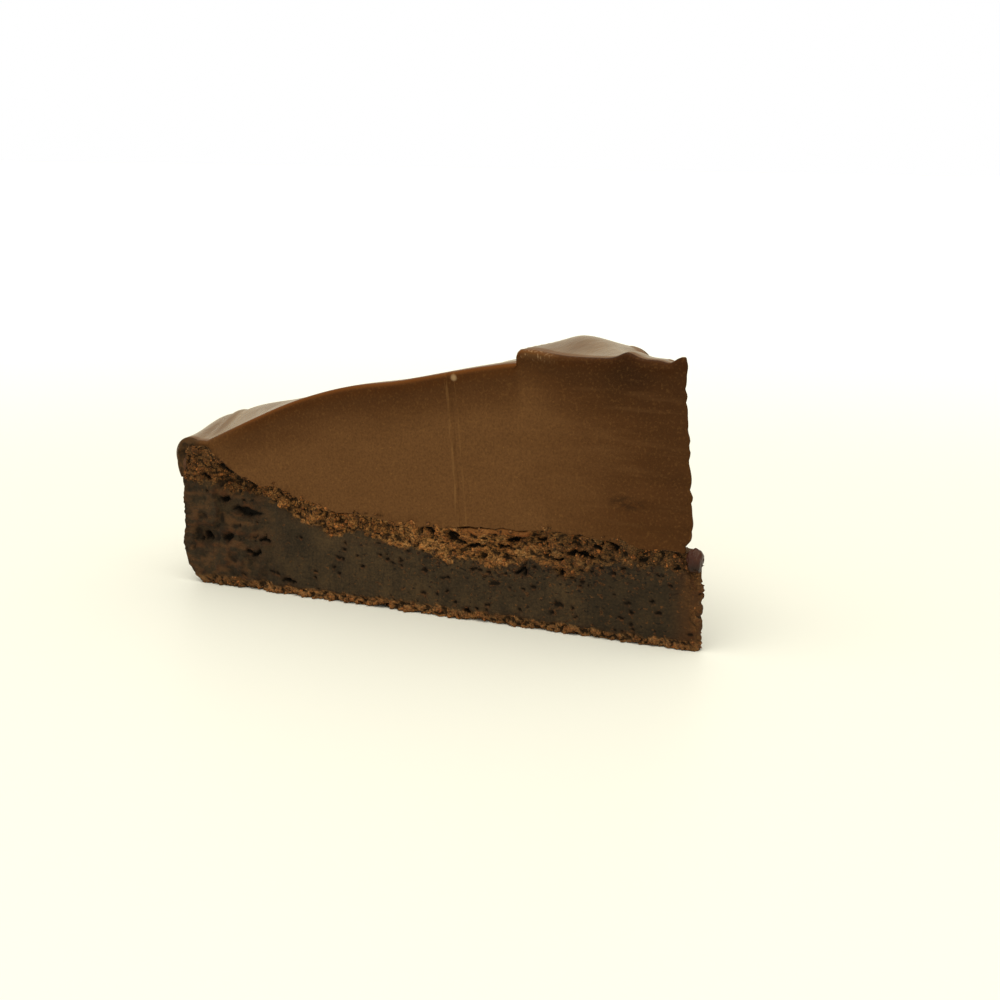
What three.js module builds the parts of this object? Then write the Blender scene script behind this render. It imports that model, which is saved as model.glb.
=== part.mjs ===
// A slice of chocolate mousse cake, in millimetres, +Z up.
//
// The slice is a wedge of a round cake. The cake layer is dense and sank in the middle as it
// cooled, so a rim stands up round its edge. Chocolate mousse fills that bowl, domes up towards
// the centre of the whole cake and laps over the rim. The flat bottom rests on z = 0, +X points
// from the rim to the tip, and the slice is centred on the origin. Radii are measured from the
// centre of the whole cake, which lies just past the tip. Heights are measured from the bottom.
// Turns are measured from the slice's middle line, and are negative towards -Y.

import * as THREE from "three";
import { mergeVertices } from "three/addons/utils/BufferGeometryUtils.js";

const DEG = Math.PI / 180;

// ---- Driving dimensions ----------------------------------------------------------------------

const HALF_ANGLE = 18 * DEG; // the slice is a tenth of the cake
const CENTRE_X = 59.75; // the whole cake's centre, so that the slice's box is centred
const TIP_ROUNDING = 0.8; // radius that softens the sharp corner of the wedge
const INTERFACE_GAP = 0.3; // between the cake and the mousse, so that the solids stay apart

const CAKE_RADIUS = 115.2; // the cake was baked in a 23 cm tin
const CAKE_NOSE = 2.3; // radius at which the tip starts
const CAKE_THICKNESS = 18.1; // of the cake layer where it sank
const RIM_HEIGHT = 28; // of the cake layer at its edge
const RIM_START = 75; // radius where the sunken middle begins to climb to the rim
const RIM_CLIMB = 98.5; // radius where the climb steepens
const RIM_CREST = 112; // radius where it ends
const RIM_FLARE = 5.2; // height that the slow climb gains
const RIM_ROUNDING = 3.2; // radius of the rim's top corner
const FOOT_TUCK = 4.2; // by which the side tucks in at the bottom, where the tin was round
const FOOT_HEIGHT = 6.6; // up to which it does so
const FOOT_CURVE = 1.2; // and how: 1 is a straight slope, and more is a rounder one

// Rises and dips of the sunken middle. Each runs round the cake's centre.
const TOP_CHANGES = [
  { amount: 1.1, radius: 30, width: 11 },
  { amount: -0.8, radius: 58, width: 9 },
];

const CRUST_BAND = 4.6; // depth of the crumbly layer under the mousse
const BAND_CHANGES = [
  { amount: -1.8, radius: 2, width: 9 },
  { amount: 1.5, radius: 45, width: 15 },
  { amount: -2.2, radius: 95, width: 8 },
  { amount: 1.6, radius: 112, width: 8 },
];
const CRUST_DEPTH = 1.7; // how far its crags go in from the cut
const CRAG_SIZE = 3.6;
const FOOT_CRUST = 1.8; // height of the crumbly layer along the bottom
const HOLE_SIZE = 5; // of the holes in the coarse crumb near the rim
const HOLE_DEPTH = 1.2;
const HOLES_START = 88; // radius where that coarse crumb begins

const MOUSSE_NOSE = { bottom: 3.85, top: 6.7 }; // radii: its tip leans back from the cake's
const NOTCH = 1.7; // by which the mousse's tip draws back where it meets the cake
const NOTCH_SHARE = 0.11; // of the mousse's height, up to which it does so
const TIP_TAPER = 26; // radius up to which the knife took more off the far side of the mousse
const CENTRE_HEIGHT = 52.2; // of the mousse at the centre of the whole cake
const DOME_EDGE = { radius: 109.6, height: 29.1 }; // where the dome ends, above the rim
const DOME_POWER = 2.3; // how flat the dome is at its middle
const LAP_THICKNESS = 1.8; // of the mousse on the rim's side
const LAP_SWELL = 1.05; // by which it is thicker at the rim's corner
const SKIRT_BOTTOM = 22.4; // how far down the rim's side the mousse runs
const SKIRT_THIN = 1; // by which the skirt thins towards its lower edge
const EDGE_ROLL = 0.5; // by which the top edge of a cut stands out
const EDGE_ROLL_DEPTH = 5; // how far down from the top edge that begins

// Strokes of the palette knife, each a crest or a trough that follows an arc round the cake's
// centre. `radius` and `turn` are the middle of the stroke, `drift` is what its radius gains for
// each degree of turn, `reach` is half its length in degrees, and `inner` and `outer` are the
// widths of its two flanks.
const STROKES = [
  { height: 2.7, radius: 36.1, turn: -8, drift: -0.25, reach: 30, inner: 7.4, outer: 1.6 }, // a fold
  { height: -0.9, radius: 63, turn: -20, drift: 0.4, reach: 38, inner: 16.4, outer: 9 },
  { height: 1, radius: 86.8, turn: -15, drift: 0, reach: 25, inner: 22, outer: 12.6 },
  { height: 1.1, radius: 17.6, turn: -18, drift: 0, reach: 20, inner: 2.1, outer: 2 },
  { height: -0.6, radius: 9.4, turn: -18, drift: 0, reach: 60, inner: 1, outer: 1.6 },
  { height: 0.9, radius: 7, turn: -18, drift: 0, reach: 60, inner: 1.8, outer: 1.4 },
  { height: 1.4, radius: 32, turn: 0, drift: 0.3, reach: 14, inner: 12, outer: 5 },
  { height: -2.4, radius: 18, turn: 16, drift: 0, reach: 10.6, inner: 4.7, outer: 6 },
  { height: 5.2, radius: 111, turn: -11, drift: 0, reach: 4.2, inner: 15.6, outer: 2.3 },
  { height: 2.4, radius: 90, turn: 9, drift: -0.6, reach: 7, inner: 12, outer: 8 },
  { height: 1, radius: 64, turn: 11, drift: 0.9, reach: 5.5, inner: 12, outer: 4 },
];

// The dab of chocolate that sits on the top corner of the cake's tip.
const DAB = { radius: 3, turn: -HALF_ANGLE, height: 16.7, size: 2 };
const DAB_BULGE = new THREE.Vector3(0.2, -0.8, 0.4);

// ---- Mesh density ----------------------------------------------------------------------------

const ACROSS = 16; // steps across the slice, from one cut face to the other
const CAKE_COLUMNS = 88; // steps along a cut face of the cake
const CAKE_ROWS = 13; // steps up the cake's sides
const TOP_ROWS_CLOSER = 0.09; // share by which the rows gather towards the crumbly layer
const DOME_COLUMNS = 68; // steps along a cut face of the mousse, up to the rim
const LAP_COLUMNS = 7; // steps round the rim's corner
const SKIRT_COLUMNS = 2; // steps down the rim's side
const MOUSSE_COLUMNS = DOME_COLUMNS + LAP_COLUMNS + SKIRT_COLUMNS;
const MOUSSE_ROWS = 9; // steps up the mousse's sides

// ---- Curves and bumps ------------------------------------------------------------------------

const mix = (a, b, t) => a + (b - a) * t;
const share = (low, high, x) => THREE.MathUtils.clamp((x - low) / (high - low), 0, 1);
const ease = (t) => t * t * (3 - 2 * t);
const bell = (x, width) => Math.exp(-((x / width) ** 2));

/** 0 at `low` and 1 at `high`, with level ends. `low` may be the larger. */
const smooth = (low, high, x) => ease(share(low, high, x));

/** A measure that changes by some amount about each of a few radii. */
const changed = (usual, changes, radius) =>
  changes.reduce((sum, c) => sum + c.amount * bell(radius - c.radius, c.width), usual);

/** A number from 0 to 1 that belongs to one corner of a lattice. */
function cornerValue(ix, iy, iz) {
  let h = Math.imul(ix, 374761393) ^ Math.imul(iy, 668265263) ^ Math.imul(iz, 1442695041);
  h = Math.imul(h ^ (h >>> 16), 2246822507);
  h = Math.imul(h ^ (h >>> 13), 3266489909);
  return ((h ^ (h >>> 16)) >>> 0) / 4294967295;
}

/** Smooth random bumps from 0 to 1, about one for each `size` millimetres. */
function bumps(point, size) {
  const scaled = point.toArray().map((value) => value / size);
  const cell = scaled.map(Math.floor);
  const weight = scaled.map((value, n) => ease(value - cell[n]));
  let sum = 0;
  for (let corner = 0; corner < 8; corner++) {
    const step = [corner & 1, (corner >> 1) & 1, corner >> 2];
    const [x, y, z] = step.map((s, n) => cell[n] + s);
    sum += step.reduce((w, s, n) => w * (s ? weight[n] : 1 - weight[n]), cornerValue(x, y, z));
  }
  return sum;
}

// ---- Places in the wedge ---------------------------------------------------------------------

/** Where a radius and a turn lie in plan, at a height. */
function place(radius, turn, z) {
  return new THREE.Vector3(CENTRE_X - radius * Math.cos(turn), radius * Math.sin(turn), z);
}

/** Place across the slice, from -1 at one cut face to 1 at the other, of a step across. */
const acrossOf = (step) => (2 * step) / ACROSS - 1;

/** Turn of a place across the cake. Its nose is one upright edge on the middle line. */
const cakeTurn = (column, across) => (column === 0 ? 0 : across * HALF_ANGLE);

/** Turn of a place across the mousse, whose nose lies close to its cut face towards -Y. */
function mousseTurn(column, across, radius, nose) {
  const full = radius * Math.sin(2 * HALF_ANGLE);
  const taken = (nose * Math.sin(2 * HALF_ANGLE) - TIP_ROUNDING) * smooth(TIP_TAPER, nose, radius);
  const width = Math.asin((full - taken) / radius);
  const portion = column === 0 ? 0.5 : (across + 1) / 2;
  return portion * width - HALF_ANGLE;
}

/** The outward direction of a cut face. */
function cutNormal(across) {
  return new THREE.Vector3(Math.sin(HALF_ANGLE), across * Math.cos(HALF_ANGLE), 0);
}

/** Radii of the columns along a cut face: the rounded nose, then even steps out to the end. */
function columnRadius(column, columns, nose, end) {
  if (column === 0) return nose;
  const toTangent = 1 + 1 / Math.tan(HALF_ANGLE) - 1 / Math.sin(HALF_ANGLE);
  return mix(nose + TIP_ROUNDING * toTangent, end, (column - 1) / (columns - 1));
}

// ---- Skins -----------------------------------------------------------------------------------

/** The triangles of a grid of points, without those that have no area at a pinched edge. */
function sheet(columns, rows, at) {
  const triangles = [];
  const add = (...corners) => {
    const [a, b, c] = corners;
    if (!a.equals(b) && !b.equals(c) && !c.equals(a)) triangles.push(...corners);
  };
  for (let i = 0; i < columns; i++) {
    for (let k = 0; k < rows; k++) {
      add(at(i, k), at(i + 1, k), at(i + 1, k + 1));
      add(at(i, k), at(i + 1, k + 1), at(i, k + 1));
    }
  }
  return triangles;
}

/** A level face from the nose to a column: one step across, and the full steps at its end. */
function levelFace(last, at) {
  if (last === 0) return [];
  const triangles = sheet(last - 1, 1, (i, j) => at(i, acrossOf(j * ACROSS)));
  for (let j = 0; j < ACROSS; j++) {
    const side = j < ACROSS / 2 ? -1 : 1;
    triangles.push(at(last - 1, side), at(last, acrossOf(j)), at(last, acrossOf(j + 1)));
  }
  triangles.push(at(last - 1, -1), at(last, 0), at(last - 1, 1));
  return triangles;
}

/** A face across the wedge that is level up to one column and curved beyond it. */
function crossFace(columns, level, at) {
  const curved = (i, j) => at(level + i, acrossOf(j));
  return [...levelFace(level, at), ...sheet(columns - level, ACROSS, curved)];
}

/** One closed wedge, from the places of its points by column, row and place across. */
function wedge(columns, rows, level, at) {
  const outward = [
    ...sheet(columns, rows, (i, k) => at(i, k, 1)),
    ...crossFace(columns, level.under, (i, across) => at(i, 0, across)),
  ];
  const inward = [
    ...sheet(columns, rows, (i, k) => at(i, k, -1)),
    ...sheet(ACROSS, rows, (j, k) => at(columns, k, acrossOf(j))),
    ...crossFace(columns, level.top, (i, across) => at(i, rows, across)),
  ];
  const positions = [...outward, ...inward.reverse()].flatMap((point) => point.toArray());
  const loose = new THREE.BufferGeometry();
  loose.setAttribute("position", new THREE.Float32BufferAttribute(positions, 3));
  const closed = mergeVertices(loose);
  closed.computeVertexNormals();
  return closed;
}

// ---- The cake layer --------------------------------------------------------------------------

const RIM_INNER = CAKE_RADIUS - RIM_ROUNDING; // where the top of the rim starts to round over
const RIM_CORNER = RIM_HEIGHT - RIM_ROUNDING; // where that rounding ends on the side

/** Height of the cake layer's top, which the mousse lies on. */
function cakeTop(radius) {
  const slow = RIM_FLARE * smooth(RIM_START, (RIM_CLIMB + RIM_CREST) / 2, radius);
  const steep = RIM_HEIGHT - CAKE_THICKNESS - RIM_FLARE;
  const rim = slow + steep * smooth(RIM_CLIMB, RIM_CREST, radius);
  return changed(CAKE_THICKNESS, TOP_CHANGES, radius) + rim;
}

/** Radius of the cake's outer side at a height, rounded at its foot and its top. */
function sideRadius(height) {
  const foot = share(FOOT_HEIGHT, 0, height);
  const shoulder = share(RIM_CORNER, RIM_HEIGHT, height);
  const tuck = FOOT_TUCK * foot ** FOOT_CURVE;
  return CAKE_RADIUS - tuck - RIM_ROUNDING * (1 - Math.sqrt(1 - shoulder ** 2));
}

/** How far a cut face of the cake stands out from its plane: crags, holes and loose crumb. */
function cutRelief(point, radius, top) {
  const crags = mix(bumps(point, CRAG_SIZE), bumps(point, CRAG_SIZE / 2), 0.4);
  const depth = changed(CRUST_BAND, BAND_CHANGES, radius);
  const bandEdge = top - depth + 1.6 * (bumps(point, 9) - 0.5);
  const underTop = 1 - 0.75 * smooth(top - 1.2, top, point.z);
  const band = smooth(bandEdge - 1, bandEdge + 1, point.z) * smooth(0.25, 0.8, crags);
  const holes = smooth(0.52, 0.75, bumps(point, HOLE_SIZE)) * smooth(HOLES_START, 100, radius);
  const foot = 0.9 * smooth(FOOT_CRUST, 0, point.z) * (crags - 0.5);
  const sunk = underTop * (CRUST_DEPTH * band + HOLE_DEPTH * holes);
  const room = 0.4 * radius * Math.sin(HALF_ANGLE);
  return Math.max(0.3 * (bumps(point, 10) - 0.5) + foot - sunk, -room);
}

/** How far the baked side stands out. Under the mousse's skirt it only goes in. */
function sideRelief(point) {
  const crags = bumps(point, CRAG_SIZE);
  const lumps = 1.3 * (bumps(point, 7) - 0.5) + 0.8 * (crags - 0.5);
  return mix(lumps, -0.4 * crags, smooth(SKIRT_BOTTOM - 6, SKIRT_BOTTOM - 2.5, point.z));
}

/** A point on the cake layer. Its relief moves it level, out from the cut or the baked side. */
function cakePoint(column, row, across) {
  const up = row / CAKE_ROWS;
  const upShare = up + TOP_ROWS_CLOSER * Math.sin(Math.PI * up);
  const top = cakeTop(columnRadius(column, CAKE_COLUMNS, CAKE_NOSE, RIM_INNER));
  const z = upShare * top;
  const radius = columnRadius(column, CAKE_COLUMNS, CAKE_NOSE, sideRadius(upShare * RIM_HEIGHT));
  const turn = cakeTurn(column, across);
  const point = place(radius, turn, z);
  const onCut = column === 0 || Math.abs(across) === 1;
  const onSide = column === CAKE_COLUMNS;
  if (onCut) {
    const normal = column === 0 ? new THREE.Vector3(1, 0, 0) : cutNormal(across);
    point.addScaledVector(normal, cutRelief(place(radius, turn, z), radius, top));
  }
  if (onSide) {
    const normal = new THREE.Vector3(-Math.cos(turn), Math.sin(turn), 0);
    point.addScaledVector(normal, sideRelief(place(radius, turn, z)));
  }
  const dab = place(DAB.radius, DAB.turn, DAB.height);
  return point.addScaledVector(DAB_BULGE, bell(point.distanceTo(dab), DAB.size));
}

// ---- The mousse ------------------------------------------------------------------------------

/** Height of the mousse's top at a radius and a turn. */
function mousseTop(radius, turn) {
  const dome = Math.min(radius / DOME_EDGE.radius, 1) ** DOME_POWER;
  const strokes = STROKES.reduce((sum, s) => {
    const turned = turn / DEG - s.turn;
    const away = radius - s.radius - s.drift * turned;
    const flank = away > 0 ? s.outer : s.inner;
    return sum + s.height * bell(turned, s.reach) * bell(away, flank);
  }, 0);
  return mix(CENTRE_HEIGHT, DOME_EDGE.height, dome) + strokes;
}

/** Where the skirt ends on the rim's side. It runs further down in some places. */
function skirtBottom(turn) {
  return SKIRT_BOTTOM + 0.9 * Math.sin(turn * 21) + 0.6 * Math.sin(turn * 47 + 1);
}

/** Radius of the mousse's tip at a share of its height. */
function noseRadius(up) {
  return mix(MOUSSE_NOSE.bottom, MOUSSE_NOSE.top, up) + NOTCH * smooth(NOTCH_SHARE, 0, up);
}

/** A point on the dome of mousse that fills the bowl. The top edges of its cuts roll out. */
function domePoint(column, up, across) {
  const [under, radius, over] = [0, up, 1].map((level) => {
    return columnRadius(column, DOME_COLUMNS, noseRadius(level), RIM_INNER);
  });
  const turn = mousseTurn(column, across, radius, noseRadius(up));
  const top = mousseTop(over, mousseTurn(column, across, over, noseRadius(1)));
  const point = place(radius, turn, mix(cakeTop(under) + INTERFACE_GAP, top, up));
  if (column === 0 || Math.abs(across) < 1) return point;
  const rolled = smooth(top - EDGE_ROLL_DEPTH, top, point.z);
  const fade = smooth(DOME_COLUMNS, DOME_COLUMNS - 8, column);
  return point.addScaledVector(cutNormal(across), EDGE_ROLL * rolled * fade);
}

/** A point where the mousse laps round the rim's corner and hangs down its side. */
function lapPoint(column, up, across) {
  const turn = across * HALF_ANGLE;
  const lap = share(DOME_COLUMNS, DOME_COLUMNS + LAP_COLUMNS, column);
  const skirt = share(DOME_COLUMNS + LAP_COLUMNS, MOUSSE_COLUMNS, column);
  const angle = (1 - lap) * 90 * DEG;
  const onTop = mousseTop(RIM_INNER, turn) - RIM_HEIGHT;
  const thickness = mix(onTop, LAP_THICKNESS, lap) + LAP_SWELL * Math.sin(2 * angle);
  const out = RIM_ROUNDING + mix(INTERFACE_GAP, thickness, up);
  const radius = RIM_INNER + out * Math.cos(angle) - up * SKIRT_THIN * skirt ** 2;
  const corner = mix(RIM_CORNER, skirtBottom(turn), skirt);
  return place(radius, turn, corner + out * Math.sin(angle));
}

/** A point on the mousse. */
function moussePoint(column, row, across) {
  const point = column <= DOME_COLUMNS ? domePoint : lapPoint;
  return point(column, row / MOUSSE_ROWS, across);
}

// ---- The slice -------------------------------------------------------------------------------

function part(name, geometry, color, roughness) {
  const material = new THREE.MeshStandardMaterial({ color, roughness, metalness: 0 });
  const mesh = new THREE.Mesh(geometry, material);
  mesh.name = name;
  return mesh;
}

/** The number of columns that lie inside the sunken, level middle of the cake layer. */
function levelColumns(columns, nose) {
  return Math.floor((columns - 1) * share(nose, RIM_INNER, RIM_START));
}

const cakeLevel = { top: levelColumns(CAKE_COLUMNS, CAKE_NOSE), under: CAKE_COLUMNS };
const mousseLevel = { top: 0, under: levelColumns(DOME_COLUMNS, noseRadius(0)) };
const cake = wedge(CAKE_COLUMNS, CAKE_ROWS, cakeLevel, cakePoint);
const mousse = wedge(MOUSSE_COLUMNS, MOUSSE_ROWS, mousseLevel, moussePoint);

const slice = new THREE.Group();
slice.name = "chocolate_mousse_cake_slice";
slice.add(part("cake_base", cake, 0x3a2c1d, 0.75));
slice.add(part("mousse", mousse, 0x5e3e23, 0.5));

export default slice;
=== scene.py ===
# %% [markdown]
# # A slice of chocolate mousse cake
# The real thing has two soft masses. The cake layer is dense and almost black where the knife
# pressed it smooth, with a crumbly orange-brown crust on top and along its foot. The mousse over
# it is a smooth foam that was spread with a palette knife. The packed solids fix where both lie,
# so this lesson starts from them and remakes each one finely enough to show its crumb.

# %% Load the frame
import math

import bmesh
import bpy
import numpy as np
from mathutils import Matrix, Vector


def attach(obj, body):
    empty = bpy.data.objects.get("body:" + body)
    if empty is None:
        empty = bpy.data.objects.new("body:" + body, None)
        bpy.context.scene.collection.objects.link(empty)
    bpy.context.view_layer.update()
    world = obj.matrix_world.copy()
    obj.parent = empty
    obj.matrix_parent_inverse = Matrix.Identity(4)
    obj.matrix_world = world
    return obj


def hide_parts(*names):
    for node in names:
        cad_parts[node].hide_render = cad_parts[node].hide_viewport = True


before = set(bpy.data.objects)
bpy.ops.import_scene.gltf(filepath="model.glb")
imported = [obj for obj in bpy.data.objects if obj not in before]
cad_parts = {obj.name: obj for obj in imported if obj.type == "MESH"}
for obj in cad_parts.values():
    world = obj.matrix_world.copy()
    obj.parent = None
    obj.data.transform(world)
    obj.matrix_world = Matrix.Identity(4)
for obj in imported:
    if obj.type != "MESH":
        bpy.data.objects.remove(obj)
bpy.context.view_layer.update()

MM = 0.001

# %% [markdown]
# ## The shape in numbers
# A slice is a wedge, so a place in it is a distance from the middle of the whole cake, a turn from
# the slice's middle line and a height. Both pieces follow from a few curves: the top of the cake
# layer, which sank in the middle and left a rim, and the dome of mousse with the strokes of the
# knife on it. They are the curves of the solids, in millimetres, but the fold's outer flank is
# steeper here and two small strokes by the tip are weaker.
#
# The dome and the strokes were first given one by one. A least-squares fit in another script then
# adjusted them to the slice's outline, and rounded them. A few were changed after that.

# %% Sizes of the slice
HALF_ANGLE = math.radians(18)
CENTRE_X = 59.75
TIP_ROUNDING = 0.8
CAKE_RADIUS = 115.2
CAKE_NOSE = 2.3
CAKE_THICKNESS = 18.1
RIM_HEIGHT = 28
RIM_START, RIM_CLIMB, RIM_CREST = 75, 98.5, 112
RIM_FLARE = 5.2
RIM_ROUNDING = 3.2
RIM_INNER = CAKE_RADIUS - RIM_ROUNDING
RIM_CORNER = RIM_HEIGHT - RIM_ROUNDING
FOOT_TUCK, FOOT_HEIGHT, FOOT_CURVE = 4.2, 6.6, 1.2
TOP_CHANGES = [(1.1, 30, 11), (-0.8, 58, 9)]  # amount, radius, width
CRUST_BAND = 4.6
BAND_CHANGES = [(-1.8, 2, 9), (1.5, 45, 15), (-2.2, 95, 8), (1.6, 112, 8)]
MOUSSE_NOSE_BOTTOM, MOUSSE_NOSE_TOP = 3.85, 6.7
NOTCH, NOTCH_SHARE = 1.7, 0.11
TIP_TAPER = 26
CENTRE_HEIGHT = 52.2
DOME_RADIUS, DOME_EDGE_HEIGHT, DOME_POWER = 109.6, 29.1, 2.3
LAP_THICKNESS, LAP_SWELL = 1.8, 1.05
SKIRT_BOTTOM, SKIRT_THIN = 22.4, 1
EDGE_ROLL, EDGE_ROLL_DEPTH = 0.5, 5

# Each stroke: height, radius, turn, drift of the radius per degree, reach, inner and outer width.
STROKES = [
    (2.7, 36.1, -8, -0.25, 30, 7.4, 1.05),
    (-0.9, 63, -20, 0.4, 38, 16.4, 9),
    (1, 86.8, -15, 0, 25, 22, 12.6),
    (1.1, 17.6, -18, 0, 20, 2.1, 2),
    (-0.4, 9.4, -18, 0, 60, 1, 1.6),
    (0.7, 7, -18, 0, 60, 1.8, 1.4),
    (1.4, 32, 0, 0.3, 14, 12, 5),
    (-2.4, 18, 16, 0, 10.6, 4.7, 6),
    (5.2, 111, -11, 0, 4.2, 15.6, 2.3),
    (2.4, 90, 9, -0.6, 7, 12, 8),
    (1, 64, 11, 0.9, 5.5, 12, 4),
]

# %% [markdown]
# ## Soft curves from numbers
# A smooth step and a bell are enough for every form here. A step lifts the rim, and a bell adds a
# stroke of the knife that fades out on all sides. Each curve takes a whole array of numbers, so the
# many points of a piece are worked out at once.

# %% Curves of the slice
def share(low, high, x):
    return np.clip((x - low) / (high - low), 0, 1)


def smooth(low, high, x):
    t = share(low, high, x)
    return t * t * (3 - 2 * t)


def mix(a, b, t):
    return a + (b - a) * t


def bell(x, width):
    return np.exp(-((x / width) ** 2))


def changed(usual, changes, radius):
    """A measure that changes by some amount about each of a few radii."""
    return usual + sum(amount * bell(radius - middle, width) for amount, middle, width in changes)


def place(radius, turn, z):
    """Points from radii, turns and heights."""
    return np.stack([CENTRE_X - radius * np.cos(turn), radius * np.sin(turn), z + 0 * radius], -1)


def cake_top(radius):
    """Height of the cake layer's top."""
    slow = RIM_FLARE * smooth(RIM_START, (RIM_CLIMB + RIM_CREST) / 2, radius)
    steep = RIM_HEIGHT - CAKE_THICKNESS - RIM_FLARE
    return changed(CAKE_THICKNESS, TOP_CHANGES, radius) + slow + steep * smooth(
        RIM_CLIMB, RIM_CREST, radius)


def side_radius(height):
    """Radius of the baked side, rounded at its foot and at the rim."""
    foot = share(FOOT_HEIGHT, 0, height)
    shoulder = share(RIM_CORNER, RIM_HEIGHT, height)
    rounded = RIM_ROUNDING * (1 - np.sqrt(1 - shoulder**2))
    return CAKE_RADIUS - FOOT_TUCK * foot**FOOT_CURVE - rounded


def mousse_top(radius, turn):
    """Height of the mousse's spread top."""
    dome = np.minimum(radius / DOME_RADIUS, 1) ** DOME_POWER
    top = mix(CENTRE_HEIGHT, DOME_EDGE_HEIGHT, dome)
    for height, middle, at_turn, drift, reach, inner, outer in STROKES:
        turned = np.degrees(turn) - at_turn
        away = radius - middle - drift * turned
        top = top + height * bell(turned, reach) * bell(away, np.where(away > 0, outer, inner))
    return top


print("cake", CAKE_THICKNESS, "mm thick,", RIM_HEIGHT, "at the rim; mousse up to",
      round(float(mousse_top(np.array(28.0), np.radians(-3.0))), 1), "mm")

# %% [markdown]
# ## Random bumps that always come out the same
# Crumb has no pattern, but the model must be the same each time it is made. So the bumps are not
# drawn one after the other: each corner of a grid in space gets a number from its own coordinates,
# by mixing their bits. Between the corners the numbers are blended, which gives soft bumps. A
# second kind keeps one point in each cell of the grid and measures how far the nearest two are.
# Where both are equally far there is a crack, and between the cracks lie crumbs. Some of the kept
# points are the middles of pores instead, the torn bubbles of the crumb.

# %% Bumps and crumbs
def lattice(ix, iy, iz, seed=0):
    """A number from 0 to 1 for each corner of a lattice."""
    h = (ix * 374761393) ^ (iy * 668265263) ^ ((iz + seed * 7919) * 1442695041)
    h = (h & 0xFFFFFFFF).astype(np.uint64)
    mask = np.uint64(0xFFFFFFFF)
    h = ((h ^ (h >> np.uint64(16))) * np.uint64(2246822507)) & mask
    h = ((h ^ (h >> np.uint64(13))) * np.uint64(3266489909)) & mask
    return (h ^ (h >> np.uint64(16))).astype(float) / 4294967295


def bumps(points, size, seed=0):
    """Soft bumps from 0 to 1. `size` is one width, or one for each direction."""
    scaled = points / size
    cell = np.floor(scaled).astype(np.int64)
    t = scaled - cell
    t = t * t * (3 - 2 * t)
    total = np.zeros(len(points))
    for corner in range(8):
        step = np.array([corner & 1, (corner >> 1) & 1, corner >> 2])
        weight = np.where(step, t, 1 - t).prod(1)
        total += weight * lattice(*(cell + step).T, seed)
    return total


def warped(points, size, amount, seed):
    """The points, pushed about by soft bumps, so that cells made from them look irregular."""
    return points + amount * 2 * (np.stack([bumps(points, size, seed + k) for k in range(3)], -1) - 0.5)


def cells(points, size, seed):
    """Distances to the nearest two of scattered points, in cells, and the nearest one's number."""
    scaled = points / size
    cell = np.floor(scaled).astype(np.int64)
    nearest, second = np.full(len(points), 9.0), np.full(len(points), 9.0)
    own = np.zeros(len(points))
    for step in np.ndindex(3, 3, 3):
        here = cell + np.array(step) - 1
        centre = here + np.stack([lattice(*here.T, seed + k) for k in (1, 2, 3)], -1)
        distance = np.linalg.norm(scaled - centre, axis=1)
        closer = distance < nearest
        second = np.where(closer, nearest, np.minimum(second, distance))
        own = np.where(closer, lattice(*here.T, seed + 4), own)
        nearest = np.minimum(nearest, distance)
    return nearest, second, own


def crumb_layer(points, size, seed):
    """Crumbs of one size: 0 in the cracks, up to 1 on a crumb."""
    nearest, second, own = cells(points, size, seed)
    dome = np.sqrt(np.clip(1 - (nearest / 0.95) ** 2, 0, 1))
    return smooth(0.02, 0.3, second - nearest) * dome * mix(0.4, 1, own)


def pores(points, size, seed, crowding, widest=0.55):
    """Hollows of one size: 0 outside, up to 1 in the middle of each."""
    nearest, _, own = cells(points, size, seed)
    reach = mix(0.45, 1, own / crowding) * widest
    return (own < crowding) * np.sqrt(np.clip(1 - (nearest / reach) ** 2, 0, 1))


# A block of points to measure the patterns on.
SAMPLE = np.stack(np.meshgrid(*[np.arange(0, 20, 1.3)] * 3), -1).reshape(-1, 3)
print("bumps from", round(bumps(SAMPLE, 4).min(), 2), "to", round(bumps(SAMPLE, 4).max(), 2),
      "and crumbs on average", round(crumb_layer(SAMPLE, 2.5, 20).mean(), 2))

# %% [markdown]
# ## A wedge as one skin
# Each piece is a wall round the wedge, with a top and an underside that close it. The wall is a
# grid: its columns run from the tip along one cut, across the outer side and back along the other
# cut, and its rows run upwards. A grid is easy to make as fine as its detail needs. The top and the
# underside share the wall's edge points, and get only as many cells of their own as will show.

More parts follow.
